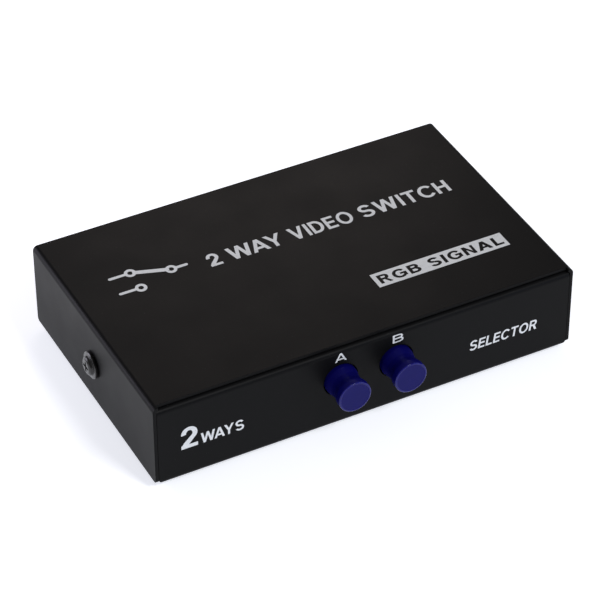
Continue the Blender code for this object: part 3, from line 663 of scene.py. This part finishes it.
# Nickel plate: warmer and darker than chrome, tarnished in 3 mm patches, with the fine 0.25 mm scratches
# that plugs leave along it.
nickel_plate = mottled_material(
    "nickel_plate",
    ("#a8a399", "#c2bdb2"),
    (0.2, 0.36),
    patches=(3, 2),
    grain=(0.25, 2),
    stretch=(1.0, 0.08, 1.0),
    low=0.35,
    relief=(0.15, 0.01),
    Metallic=1.0,
)

# Blue PBT: a mid blue, a little chalky from its glass filling.
blue_pbt = mottled_material(
    "blue_glass_filled_pbt", ("#16389a", "#1c42ab"), (0.42, 0.6), (0.35, 2), Specular_IOR_Level=0.4
)

# Gold flash over nickel on the contacts: its colour wanders over 0.5 mm and its polish over 0.2 mm.
gold_flash = mottled_material(
    "gold_flash", ("#d8b55c", "#e3c778"), (0.18, 0.3), patches=(0.5, 2), grain=(0.2, 2), Metallic=1.0
)


def gathered(meshes):
    """Several meshes as one."""
    bm = bmesh.new()
    for mesh in meshes:
        bm.from_mesh(mesh)
    whole = bpy.data.meshes.new("mesh")
    bm.to_mesh(whole)
    bm.free()
    return whole


def contact_places():
    """The fifteen contacts: rows of five, the middle row set half a pitch to one side."""
    rows = ((1, CONTACT_SHIFT), (0, -CONTACT_SHIFT), (-1, CONTACT_SHIFT))
    return [((k - 2) * CONTACT_PITCH + shift, row * CONTACT_ROW) for row, shift in rows for k in range(5)]


# The same places as points for Geometry Nodes: a grid whose middle row is set to one side, stood upright.
row_sizes = {"Pitch": "Float", "Row Pitch": "Float", "Shift": "Float", "Centre": "Vector"}
contact_rows, given = geometry_tree("contact_rows", row_sizes)
width = {0: given.outputs["Pitch"], 1: 4.0}
depth = {0: given.outputs["Row Pitch"], 1: 2.0}
field = {
    "Size X": add_node(contact_rows, "ShaderNodeMath", width, operation="MULTIPLY").outputs[0],
    "Size Y": add_node(contact_rows, "ShaderNodeMath", depth, operation="MULTIPLY").outputs[0],
    "Vertices X": 5,
    "Vertices Y": 3,
}
grid = add_node(contact_rows, "GeometryNodeMeshGrid", field).outputs[0]
position = add_node(contact_rows, "GeometryNodeInputPosition").outputs[0]
row = add_node(contact_rows, "ShaderNodeSeparateXYZ", {0: position}).outputs["Y"]
row = add_node(contact_rows, "ShaderNodeMath", {0: row}, operation="ABSOLUTE").outputs[0]
middle = {0: row, 1: CONTACT_ROW / 2 * MM}
middle = add_node(contact_rows, "ShaderNodeMath", middle, operation="LESS_THAN").outputs[0]
way = {0: middle, 1: -2.0, 2: 1.0}  # -1 on the middle row, 1 on the others
way = add_node(contact_rows, "ShaderNodeMath", way, operation="MULTIPLY_ADD").outputs[0]
shift = {0: way, 1: given.outputs["Shift"]}
shift = add_node(contact_rows, "ShaderNodeMath", shift, operation="MULTIPLY").outputs[0]
shift = add_node(contact_rows, "ShaderNodeCombineXYZ", {"X": shift}).outputs[0]
shifted = add_node(contact_rows, "GeometryNodeSetPosition", {"Geometry": grid, "Offset": shift}).outputs[0]
upright = {"Geometry": shifted, "Rotation": (math.pi / 2, 0, 0), "Translation": given.outputs["Centre"]}
upright = add_node(contact_rows, "GeometryNodeTransform", upright).outputs[0]
each = {"Points": upright, "Instance": given.outputs["Geometry"]}
copies = add_node(contact_rows, "GeometryNodeInstanceOnPoints", each)
end_tree(contact_rows, given, copies.outputs[0])

CONTACT_OUTSIDE = [(-4.4, 0), (-4.4, 0.42), (-0.55, 0.42), (-0.5, 0.38)]
CONTACT_PROFILE = CONTACT_OUTSIDE + [(-0.55, 0.3), (-4.0, 0.28), (-4.0, 0)]
CONTACT_HOLE = [(-4.5, 0), (-4.5, 0.5), (-0.25, 0.5), (0, 0.68), (1, 0.68), (1, 0)]


def stud_holes(x):
    """The tools for the two stud holes beside a socket, through its flange and its moulded ears."""
    places = [(x + side * STUD_SIDE, Y_FLANGE, Z_VGA) for side in (-1, 1)]
    return [drill("Y", place, STUD_HOLE_R, -6, 1, sides=24) for place in places]


for label, x in VGA_X.items():
    low = (x - FLANGE_HALF_W, Y_FLANGE - FLANGE_T, Z_VGA - FLANGE_HALF_H)
    high = (x + FLANGE_HALF_W, Y_FLANGE, Z_VGA + FLANGE_HALF_H)
    shell = link_object("socket_shell_" + label, box(low, high))
    shroud = prism(shroud_outline(x, 0), "Y", Y_FLANGE - FLANGE_T / 2, Y_FLANGE + SHROUD_LEN)
    bore = prism(shroud_outline(x, -SHROUD_WALL), "Y", Y_FLANGE - 2, Y_FLANGE + SHROUD_LEN + 1)
    join_and_cut(shell, [shroud], [bore, *stud_holes(x)])
    soften(shell, 0.16)
    fit(shell, nickel_plate, "case", "nickel_plate", "vga_shell_" + label)

    nose = prism(shroud_outline(x, -SHROUD_WALL - BODY_GAP), "Y", Y_EARS - 1, Y_FACE)
    moulding = link_object("socket_moulding_" + label, nose)
    low = (x - EARS_HALF_W, Y_EARS - EARS_T, Z_VGA - EARS_HALF_H)
    ears = box(low, (x + EARS_HALF_W, Y_EARS, Z_VGA + EARS_HALF_H))
    low = (x - BODY_HALF_W, moulding_low.y, moulding_low.z)
    rear_block = box(low, (x + BODY_HALF_W, Y_EARS - 0.5, Z_VGA + BODY_ABOVE))
    pockets = [turned(CONTACT_HOLE, "Y", (x + u, Y_FACE, Z_VGA + v), 20) for u, v in contact_places()]
    join_and_cut(moulding, [ears, rear_block], [*stud_holes(x), gathered(pockets)])
    soften(moulding, 0.1)
    fit(moulding, blue_pbt, "case", "blue_pbt", "vga_insulator_" + label)

    contacts = link_object("socket_contacts_" + label, turned(CONTACT_PROFILE, "Y", sides=20))
    run_tree(
        contacts,
        contact_rows,
        Pitch=CONTACT_PITCH * MM,
        Row_Pitch=CONTACT_ROW * MM,
        Shift=CONTACT_SHIFT * MM,
        Centre=(x * MM, Y_FACE * MM, Z_VGA * MM),
        Material=gold_flash,
    )
    soften(contacts, 0)
    fit(contacts, gold_flash, "case", "nickel_plate")

# Six hexagonal screwlocks clamp the flanges to the panel, and take the plugs' thumbscrews in their tapped
# ends. The hexagon's corners are turned off at the outer end.
HEX_FLATS, HEX_LEN, THREAD_PITCH = 4.75, 4.8, 0.635
jack_high = limits("jackscrew_1")[1]
Y_JACK = jack_high.y - HEX_LEN
hexagon = arc((0, Z_VGA), HEX_FLATS / math.sqrt(3), 0, 300, 5)
jack = link_object("screwlocks", prism(hexagon, "Y", Y_JACK, Y_JACK + HEX_LEN))
jack_place = (0, Y_JACK, Z_VGA)
BLANK_LINE = [(-1, 0), (-1, 3.2), (4.25, 3.2), (4.8, 2.35), (4.8, 0)]
join_and_cut(jack, kept=[turned(BLANK_LINE, "Y", jack_place)])
stud_thread = threads(start=-6.8, end=-0.4, outer=1.4, pitch=THREAD_PITCH, depth=0.25)
stud = [(-7.0, 0), (-7.0, 1.1)] + stud_thread + [(1.0, 1.15), (1.0, 0)]
tapped_thread = threads(start=0.5, end=4.5, outer=1.42, pitch=THREAD_PITCH, depth=0.28)
tapped_hole = [(0.4, 0)] + tapped_thread + [(4.85, 1.6), (6, 1.6), (6, 0)]
join_and_cut(jack, [turned(stud, "Y", jack_place, 32)], [turned(tapped_hole, "Y", jack_place, 32)])
# Two stand beside each socket, and then there are three such pairs.
for columns, width in ((2, 2 * STUD_SIDE), (3, 2 * VGA_PITCH)):
    run_tree(
        jack,
        copies_on_grid,
        Columns=columns,
        Rows=1,
        Width=width * MM,
        Depth=0.0,
        Centre=(0, 0, 0),
        Material=nickel_plate,
    )
soften(jack, 0)
fit(jack, nickel_plate, "case", "nickel_plate", *[f"jackscrew_{n}" for n in range(1, 7)])

# ---- interlocked switch ---------------------------------------------------------------------------------
# A zinc-plated steel channel carries two push switches. Each plunger's tooth lifts the sliding lock bar as
# it goes in, which frees the other plunger; coil springs bring all three back.
fit(copy_of("switch_bracket", "switch_channel", 0.12), zinc_plate, "case", "zinc_plate", "switch_bracket")
fit(copy_of("lock_bar", "sliding_lock_bar", 0.08), zinc_plate, "lock_bar", "zinc_plate", "lock_bar")

# Black nylon with glass: dead matte, with a greyish bloom of fibres.
black_nylon = mottled_material(
    "black_glass_filled_nylon", ("#161617", "#232325"), (0.5, 0.7), (0.4, 2), Specular_IOR_Level=0.4
)
# White acetal: slightly waxy, and lets light in by about a millimetre.
white_acetal = mottled_material(
    "white_acetal",
    ("#dcdad2", "#e9e7e0"),
    (0.3, 0.42),
    (1.5, 2),
    Subsurface_Weight=0.15,
    Subsurface_Scale=1 * MM,
)
for label in BUTTON_X:
    body = copy_of("switch_body_" + label, "switch_housing_" + label, 0.25)
    fit(body, black_nylon, "case", "black_nylon", "switch_body_" + label)
    stem = copy_of("plunger_" + label, "switch_plunger_" + label, 0.1)
    fit(stem, white_acetal, "button_" + label, "white_pom", "plunger_" + label)

# Drawn spring wire: dark bright steel, blued unevenly by its stress relief.
spring_wire = mottled_material(
    "drawn_spring_wire", ("#8b8d92", "#a7a9ad"), (0.22, 0.38), (0.3, 2), Metallic=1.0
)


def coil(radius, wire_r, length, turns, per_turn=28, sides=10):
    """A coil spring along +Z, with a closed turn at each end and open turns between them."""
    closed = 2.1 * wire_r  # the rise of a closed turn
    rise = (length - 2 * wire_r - 2 * closed) / (turns - 2)

    def height(turn):
        ends = min(turn, 1) + max(turn - (turns - 1), 0)
        return wire_r + closed * ends + rise * min(max(turn - 1, 0), turns - 2)

    def build(bm):
        rings = []
        for k in range(int(turns * per_turn) + 1):
            angle = 2 * math.pi * k / per_turn
            out, up = Vector((math.cos(angle), math.sin(angle), 0)), Vector((0, 0, 1))
            centre = out * radius + up * height(k / per_turn)
            spokes = [2 * math.pi * s / sides for s in range(sides)]
            ring = [centre + (out * math.cos(s) + up * math.sin(s)) * wire_r for s in spokes]
            rings.append([bm.verts.new(point) for point in ring])
        for a, b in zip(rings, rings[1:]):
            for s in range(sides):
                bm.faces.new([a[s], a[(s + 1) % sides], b[(s + 1) % sides], b[s]])
        bm.faces.new(rings[0])
        bm.faces.new(rings[-1])

    return mesh_from(build)


for label, x in BUTTON_X.items():
    low, high = limits("return_spring_" + label)
    mesh = coil(radius=2.95, wire_r=0.25, length=high.y - low.y, turns=7)
    start = Matrix.Translation(Vector((x, low.y, Z_BUTTON)) * MM)
    mesh.transform(start @ Matrix.Rotation(-math.pi / 2, 4, "X"))
    spring = link_object("push_spring_" + label, mesh)
    soften(spring, 0, 60)
    fit(spring, spring_wire, "case", "spring_steel", "return_spring_" + label)
    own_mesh(spring)
low, high = limits("lock_bar_spring")
mesh = coil(radius=1.5, wire_r=0.2, length=high.x - low.x, turns=7)
bar_y = (low.y + high.y) / 2
start = Matrix.Translation(Vector((low.x, bar_y, Z_BUTTON)) * MM)
mesh.transform(start @ Matrix.Rotation(math.pi / 2, 4, "Y"))
spring = link_object("bar_spring", mesh)
soften(spring, 0, 60)
fit(spring, spring_wire, "case", "spring_steel", "lock_bar_spring")
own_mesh(spring)

# ---- push buttons ---------------------------------------------------------------------------------------
# Two caps moulded in dark blue ABS, each pressed on its switch's square stem. The slight waist lets the
# head be gripped. The face is flat inside a thin raised rim.

# Deep blue ABS, satin from the mould: a soft highlight, and a faint spark-eroded grain of 0.3 mm.
blue_abs = mottled_material(
    "deep_blue_moulded_abs",
    ("#060550", "#08075a"),
    (0.3, 0.42),
    patches=(4, 2),
    grain=(0.3, 1),
    relief=(0.3, 0.006),
    Specular_IOR_Level=0.12,
)
# The same plastic round the rim of the face, glossier so that it catches the lamps, and painted a lighter
# blue there as a highlight line.
rim_highlight_abs = mottled_material(
    "polished_blue_abs_rim", ("#07065a", "#0c0b6c"), (0.12, 0.3), (0.8, 2), Specular_IOR_Level=0.28
)
RIM_FROM_Y, RIM_FROM_R, STEM_HALF, STEM_DEPTH = Y_FRONT - 8.2, 4.45, 2, 6.5
# The line from inside the case to the face: flared base, waist, head, rim and recessed face.
CAP_PROFILE = [
    (3.0, 0, 0),
    (3.0, 4.8, 0.15),
    (2.6, 5.0, 0.2),
    (-0.8, 5.0, 1.0),
    (-3.0, 4.5, 2.0),
    (-4.6, 4.5, 2.0),
    (-6.6, 5.0, 1.5),
    (-8.5, 5.0, 0.32),
    (-8.5, 4.45, 0.06),
    (-8.42, 4.35, 0.05),
    (-8.42, 0, 0),
]
for label, x in BUTTON_X.items():
    cap = link_object("push_cap_" + label, turned(rounded(CAP_PROFILE), "Y", (x, Y_FRONT, Z_BUTTON), 96))
    low = (x - STEM_HALF, Y_FRONT - STEM_DEPTH, Z_BUTTON - STEM_HALF)
    stem_hole = box(low, (x + STEM_HALF, Y_FRONT + 4, Z_BUTTON + STEM_HALF))
    join_and_cut(cap, cut=[stem_hole])
    soften(cap, 0, 50)
    fit(cap, blue_abs, "button_" + label, "blue_abs", "button_cap_" + label)
    # The rim's faces take the glossier blue with its painted highlight.
    cap.data.materials.append(rim_highlight_abs)
    for face in cap.data.polygons:
        out = math.hypot(face.center.x - x * MM, face.center.z - Z_BUTTON * MM)
        if face.center.y < RIM_FROM_Y * MM and out > RIM_FROM_R * MM:
            face.material_index = 1

# ---- top cover ------------------------------------------------------------------------------------------
# A second piece of the same sheet, folded into the top and both sides, and slid down over the tray. Its
# sides end flush with the front panel. Its top ends just behind the panel's fold.
COVER_SETBACK, SIDE_CORNER_R, SCREW_HOLE_R = 1.3, 1.2, 2.1


def cover_section():
    """The cover's section seen from the front."""
    half, inner_r = CASE_W / 2, BEND_R - SHEET
    left, right_bend = (-half + BEND_R, Z_TOP - BEND_R), (half - BEND_R, Z_TOP - BEND_R)
    outside = [(half, cover_low.z)] + arc(right_bend, BEND_R, 0, 90) + arc(left, BEND_R, 90, 180)
    inside = [(-half + SHEET, cover_low.z)] + arc(left, inner_r, 180, 90) + arc(right_bend, inner_r, 90, 0)
    return outside + [(-half, cover_low.z)] + inside + [(half - SHEET, cover_low.z)]


def side_trim(y, side):
    """What is nibbled off both sides' lower corners at one end, to leave them rounded."""
    centre = (y - side * SIDE_CORNER_R, cover_low.z + SIDE_CORNER_R)
    curve = arc(centre, SIDE_CORNER_R, 270, 360 if side > 0 else 180, CORNER_STEPS)
    outer = [(y + side, centre[1]), (y + side, cover_low.z - 1), (centre[0], cover_low.z - 1)]
    return prism(curve + outer, "X", -CASE_W, CASE_W)


cover = link_object("top_and_sides", prism(cover_section(), "Y", Y_FRONT, Y_REAR))
reach = CASE_W / 2 - BEND_R
setback = box((-reach, Y_FRONT - 1, Z_TOP - SHEET - 0.2), (reach, Y_FRONT + COVER_SETBACK, Z_TOP + 1))
screw_holes = drill("X", (0, Y_MID, Z_SCREW), SCREW_HOLE_R, -70, 70)
join_and_cut(cover, cut=[setback, side_trim(Y_FRONT, -1), side_trim(Y_REAR, 1), screw_holes])
soften(cover, SHEET_EDGE_R)
fit(cover, black_enamel, "case", "black_paint", "top_cover")

# ---- cover screws ---------------------------------------------------------------------------------------
# A washer-headed cross-recess screw through the middle of each side, in black oxide steel, turned into the
# tapped ear of the tray.

# Black zinc plate under a clear sealer: near black and glossy, thinner and browner in patches.
black_zinc = mottled_material(
    "sealed_black_zinc", ("#0a0a0b", "#1c1b1a"), (0.12, 0.3), (0.8, 3), Specular_IOR_Level=0.5
)
# From the top of the head, over the washer's rim, to the underside.
WASHER_HEAD = [
    (1.9, 0, 0),
    (1.9, 2.1, 0.35),
    (1.5, 2.75, 0.5),
    (0.8, 3.05, 0.2),
    (0.75, 3.9, 0.1),
    (0.55, 4.1, 0.15),
    (0.0, 4.1, 0),
    (0.0, 1.7, 0),
]
WASHER_HEAD_H, WASHER_HEAD_LIFT = 1.9, 0.3
side_thread = threads(start=-0.6, end=-7.3, outer=1.7, pitch=0.7, depth=0.3)
side_screw_line = rounded(WASHER_HEAD) + side_thread + [(-8.2, 0.8), (-8.2, 0)]
for name, side in (("left", -1), ("right", 1)):
    screw = link_object("side_screw_" + name, turned(side_screw_line, "Z", sides=64))
    recess = cross_recess(size=2.0, width=0.45, depth=1.4)
    recess.transform(Matrix.Translation((0, 0, WASHER_HEAD_H * MM)))
    join_and_cut(screw, cut=[recess])
    seat = Matrix.Translation(Vector((side * (CASE_W / 2 + WASHER_HEAD_LIFT), Y_MID, Z_SCREW)) * MM)
    screw.data.transform(seat @ Matrix.Rotation(side * math.pi / 2, 4, "Y"))
    soften(screw, 0)
    fit(screw, black_zinc, "case", "blackened_steel", "cover_screw_" + name)

# ---- printing -------------------------------------------------------------------------------------------
# Pale grey screen ink laid on the cured enamel: a line of words, a reversed-out badge and a changeover
# symbol on top, plain words on both panels, and a letter over each button.
INK_LIFT, INK_T = 0.01, 0.03

# Screen ink is matte and slightly uneven, where the mesh left it thin and the black shows through.
INK_MOTTLE_MM, INK_DEPTH_MM, PINHOLE_MM = 1.2, 0.01, 0.3
screen_ink, tree, shader, place = new_material(
    "pale_grey_screen_ink", Roughness=0.6, Specular_IOR_Level=0.3
)
mottle, pinholes = [
    add_node(
        tree, "ShaderNodeTexNoise", {"Vector": place, "Scale": 1 / (mm * MM), "Detail": detail}
    ).outputs["Fac"]
    for mm, detail in ((INK_MOTTLE_MM, 3), (PINHOLE_MM, 0))
]
pinholes = {"Value": pinholes, "From Min": 0.76, "From Max": 0.84, "To Max": 0.5}
pinholes = add_node(tree, "ShaderNodeMapRange", pinholes).outputs[0]
ink = {"Factor": mottle, MIX_A: "#cdcfd1", MIX_B: "#e2e4e6"}
ink = add_node(tree, "ShaderNodeMix", ink, data_type="RGBA").outputs[MIX_OUT]
thin_ink = {"Factor": pinholes, MIX_A: ink, MIX_B: "#6a6a6c"}
relief = {"Height": mottle, "Strength": 0.4, "Distance": INK_DEPTH_MM * MM}
wire(
    tree,
    shader,
    Base_Color=add_node(tree, "ShaderNodeMix", thin_ink, data_type="RGBA").outputs[MIX_OUT],
    Normal=add_node(tree, "ShaderNodeBump", relief).outputs[0],
)

upright_face = Matrix.Rotation(math.pi / 2, 4, "X")
FACES = {
    "top": Matrix.Translation((0, 0, Z_TOP * MM)),
    "front": Matrix.Translation((0, Y_FRONT * MM, 0)) @ upright_face,
    "rear": Matrix.Translation((0, Y_REAR * MM, 0)) @ Matrix.Rotation(math.pi, 4, "Z") @ upright_face,
}

# The letters are drawn as a sign-writer would, from straight strokes and bowls, one unit high. The uprights
# of a bold letter are a fifth of a unit wide, and its cross strokes a little thinner.


def block(left, low, right, high):
    """A straight-sided stroke."""
    return [(left, low), (right, low), (right, high), (left, high)]


def mirrored(width, outline):
    """A stroke's mirror image in a letter of this width."""
    return [(width - x, y) for x, y in reversed(outline)]


def alphabet(stem, bar):
    """Each letter's width and strokes, for one width of upright and one of cross stroke."""

    def bowl(centre, wide, tall, start, end, steps=14):
        """A curved stroke of half-width wide and half-height tall, thinner at its top and foot."""
        angles = [math.radians(start + (end - start) * k / steps) for k in range(steps + 1)]
        outside = [(centre[0] + wide * math.cos(a), centre[1] + tall * math.sin(a)) for a in angles]
        wide, tall = wide - stem, tall - bar
        angles.reverse()
        inside = [(centre[0] + wide * math.cos(a), centre[1] + tall * math.sin(a)) for a in angles]
        return outside + inside

    left, slope = block(0, 0, stem, 1), 1.1 * stem
    v_stroke = [(0, 1), (0.225, 1), (0.58, 0), (0.36, 0)]
    w_down, w_up = [(0, 1), (0.215, 1), (0.47, 0), (0.25, 0)], [(0.25, 0), (0.47, 0), (0.78, 1), (0.58, 1)]
    y_arm = [(0, 1), (0.23, 1), (0.57, 0.42), (0.4, 0.34)]
    neck = [(0.0, 0.0), (0.25, 0.0), (0.3, 0.16), (0.52, 0.41)]
    neck += [(0.615, 0.52), (0.45, 0.615), (0.1, 0.27), (0.01, 0.12)]
    return {
        " ": (0.3, []),
        "2": (0.67, [bowl((0.335, 0.69), 0.33, 0.32, -32, 186), neck, block(0, 0, 0.67, bar)]),
        "A": (1.0, [
            [(0, 0), (slope, 0), (0.5 + slope / 2, 1), (0.5 - slope / 2, 1)],
            [(1, 0), (1 - slope, 0), (0.5 - slope / 2, 1), (0.5 + slope / 2, 1)],
            block(0.2, 0.2, 0.8, 0.2 + bar),
        ]),
        "B": (0.82, [
            left, block(0.1, 0, 0.48, bar), block(0.1, 1 - bar, 0.46, 1),
            block(0.1, 0.44, 0.48, 0.44 + bar),
            bowl((0.48, 0.3), 0.34, 0.3, -90, 90), bowl((0.46, 0.725), 0.31, 0.275, -90, 90),
        ]),
        "D": (0.83, [
            left, block(0.1, 0, 0.36, bar), block(0.1, 1 - bar, 0.36, 1),
            bowl((0.34, 0.5), 0.49, 0.5, -90, 90, 20),
        ]),
        "C": (0.92, [bowl((0.5, 0.5), 0.5, 0.515, 38, 322, 24)]),
        "E": (0.7, [
            left, block(0, 0, 0.7, bar), block(0, 0.43, 0.65, 0.43 + bar), block(0, 1 - bar, 0.69, 1),
        ]),
        "G": (0.98, [
            bowl((0.5, 0.5), 0.5, 0.515, 38, 318, 24), block(0.52, 0.38, 0.97, 0.38 + bar * 0.95),
            [(0.97 - stem, 0.13), (0.97, 0.13), (0.97, 0.5), (0.97 - stem, 0.5)],
        ]),
        "H": (0.8, [left, block(0.6, 0, 0.8, 1), block(0.1, 0.43, 0.7, 0.43 + bar)]),
        "I": (stem, [left]),
        "L": (0.67, [left, block(0, 0, 0.67, bar)]),
        "N": (0.8, [left, block(0.6, 0, 0.8, 1), [(0, 1), (0.22, 1), (0.8, 0), (0.58, 0)]]),
        "O": (1.0, [bowl((0.5, 0.5), 0.5, 0.515, -1, 181, 20), bowl((0.5, 0.5), 0.5, 0.515, 179, 361, 20)]),
        "P": (0.76, [
            left, block(0.1, 1 - bar, 0.45, 1), block(0.1, 0.37, 0.45, 0.37 + bar),
            bowl((0.45, 0.685), 0.31, 0.315, -90, 90),
        ]),
        "R": (0.84, [
            left, block(0.1, 1 - bar, 0.46, 1), block(0.1, 0.4, 0.46, 0.4 + bar),
            bowl((0.46, 0.7), 0.31, 0.3, -90, 90), [(0.33, 0.5), (0.55, 0.5), (0.86, 0), (0.62, 0)],
        ]),
        "S": (0.84, [
            bowl((0.41, 0.7175), 0.39, 0.2975, 22, 272, 20), bowl((0.43, 0.285), 0.41, 0.3, -160, 92, 20),
        ]),
        "T": (0.8, [block(0, 1 - bar, 0.8, 1), block(0.3, 0, 0.5, 1)]),
        "U": (0.8, [
            block(0, 0.38, stem, 1), block(0.6, 0.38, 0.8, 1), bowl((0.4, 0.39), 0.4, 0.405, 180, 360, 18),
        ]),
        "V": (0.94, [v_stroke, mirrored(0.94, v_stroke)]),
        "W": (1.36, [w_down, w_up, mirrored(1.36, w_down), mirrored(1.36, w_up)]),
        "Y": (0.94, [block(0.37, 0, 0.57, 0.45), y_arm, mirrored(0.94, y_arm)]),
    }


HEAVY, BOLD, LIGHT = alphabet(0.24, 0.21), alphabet(0.2, 0.165), alphabet(0.14, 0.15)
SLOPING = "AVWYT"


def lettering(words, low, high, letters=BOLD, gap=0.14, slant=0.0):
    """Outlines of the words' strokes, stretched to fill the box from low to high in millimetres."""
    outlines, along = [], 0.0
    for letter, after in zip(words, words[1:] + " "):
        width, strokes = letters[letter]
        outlines += [[(along + u + slant * v, v) for u, v in stroke] for stroke in strokes]
        along += width + (gap - 0.2 if letter in SLOPING and after in SLOPING else gap)
    end = max(u for outline in outlines for u, _ in outline)
    wide, tall = (high[0] - low[0]) / end, high[1] - low[1]
    return [[(low[0] + u * wide, low[1] + v * tall) for u, v in outline] for outline in outlines]


def ink_film(outlines, ground=None):
    """A thin film over the outlines' joined area, or over the ground outline with that area left bare."""
    corners, loops = [], []
    for outline in outlines + ([ground] if ground else []):
        loop = list(range(len(corners), len(corners) + len(outline)))
        turn = sum(a[0] * b[1] - b[0] * a[1] for a, b in zip(outline, outline[1:] + outline[:1]))
        loops.append(loop if turn > 0 else loop[::-1])
        corners += [Vector(p) for p in outline]
    points, _, faces, _, _, sources = delaunay_2d_cdt(corners, [], loops, 1, 1e-5)
    only = [len(outlines)]
    faces = [f for f, source in zip(faces, sources) if (source == only if ground else source)]

    def build(bm):
        top = [bm.verts.new((*p, INK_LIFT + INK_T)) for p in points]
        low = [bm.verts.new((*p, INK_LIFT)) for p in points]
        sides = {}
        for face in faces:
            bm.faces.new([top[k] for k in face])
            bm.faces.new([low[k] for k in reversed(face)])
            for a, b in zip(face, face[1:] + face[:1]):
                sides[(a, b)] = True
        for a, b in sides:
            if (b, a) not in sides:
                bm.faces.new([top[a], low[a], low[b], top[b]])
        bmesh.ops.delete(bm, geom=[v for v in bm.verts if not v.link_faces], context="VERTS")

    return mesh_from(build)


def print_on(name, face, outlines, ground=None):
    """Prints outlines on the top, front or rear as one piece."""
    mesh = ink_film(outlines, ground)
    mesh.transform(FACES[face])
    fit(link_object(name, mesh), screen_ink, "case", "black_paint")


def top_point(from_left, from_back):
    """A place on the top, from distances in from its left and back edges."""
    return (-CASE_W / 2 + from_left, Y_REAR - from_back)


def front_point(from_left, below_top):
    """A place on the front panel, from its left edge and the case's top."""
    return (-CASE_W / 2 + from_left, Z_TOP - below_top)


TITLE = [("2", 41.3, 45.0), ("WAY", 47.8, 64.9), ("VIDEO", 67.5, 87.6), ("SWITCH", 90.2, 119.5)]
title = []
for word, start, end in TITLE:
    title += lettering(word, top_point(start, 32.4), top_point(end, 26.8))
print_on("title_words", "top", title)

badge_low, badge_high, badge_letter_h = top_point(78.8, 62.7), top_point(121.25, 56.5), 3.9
middle = (badge_low[1] + badge_high[1]) / 2
bare_low = (badge_low[0] + 1.3, middle - badge_letter_h / 2)
bare_high = (badge_high[0] - 1.05, middle + badge_letter_h / 2)
bare = lettering("RGB SIGNAL", bare_low, bare_high, HEAVY, 0.17)
print_on("badge", "top", bare, block(*badge_low, *badge_high))

# The symbol is a changeover contact: two fixed contacts on the left, and a lever that joins one of them to
# the common contact on the right.
LINE, LEVER, RING_OUT, RING_IN = 0.5, 0.75, 1.75, 0.8


def line(start, end, width=LINE):
    """A line with round ends."""
    start, end = Vector(start), Vector(end)
    heading = math.degrees(math.atan2(end.y - start.y, end.x - start.x))
    far_end = arc(end, width, heading - 90, heading + 90, CORNER_STEPS)
    return far_end + arc(start, width, heading + 90, heading + 270, CORNER_STEPS)


def ring(centre):
    """A ring as two overlapping halves."""
    return [
        arc(centre, RING_OUT, start, start + 182, 20) + arc(centre, RING_IN, start + 182, start, 20)
        for start in (0, 180)
    ]


fixed_high, fixed_low, common = top_point(19.5, 24.2), top_point(19.5, 31.6), top_point(30.6, 27.9)
symbol = ring(fixed_high) + ring(fixed_low) + ring(common)
symbol.append(line(top_point(13.2, 24.2), (fixed_high[0] - 1.3, fixed_high[1])))
symbol.append(line(top_point(13.2, 31.6), (fixed_low[0] - 1.3, fixed_low[1])))
symbol.append(line((fixed_high[0] + 1.25, fixed_high[1] - 0.4), (common[0] - 1.25, common[1] + 0.4), LEVER))
symbol.append(line((common[0] + 1.3, common[1]), top_point(35.3, 27.9)))
print_on("changeover_symbol", "top", symbol)

FRONT_WORDS = [
    ("ways_numeral", "2", (8.0, 17.6), (13.0, 10.25), BOLD, 0.0),
    ("ways_word", "WAYS", (13.9, 17.6), (27.0, 14.0), BOLD, 0.0),
    ("function_word", "SELECTOR", (98.0, 17.7), (120.2, 14.25), BOLD, 0.15),
    ("letter_a", "A", (55.1, 5.25), (58.75, 2.4), LIGHT, 0.0),
    ("letter_b", "B", (73.2, 5.3), (76.6, 2.5), LIGHT, 0.0),
]
for name, words, low, high, letters, slant in FRONT_WORDS:
    print_on(name, "front", lettering(words, front_point(*low), front_point(*high), letters, slant=slant))
REAR_LABELS = {"INPUT A": (38.0, 12.0), "OUTPUT": (0.0, 11.0), "INPUT B": (-38.0, 12.0)}
for words, (x, width) in REAR_LABELS.items():
    name = "rear_" + words.lower().replace(" ", "_")
    print_on(name, "rear", lettering(words, (x - width / 2, 23.4), (x + width / 2, 25.6)))
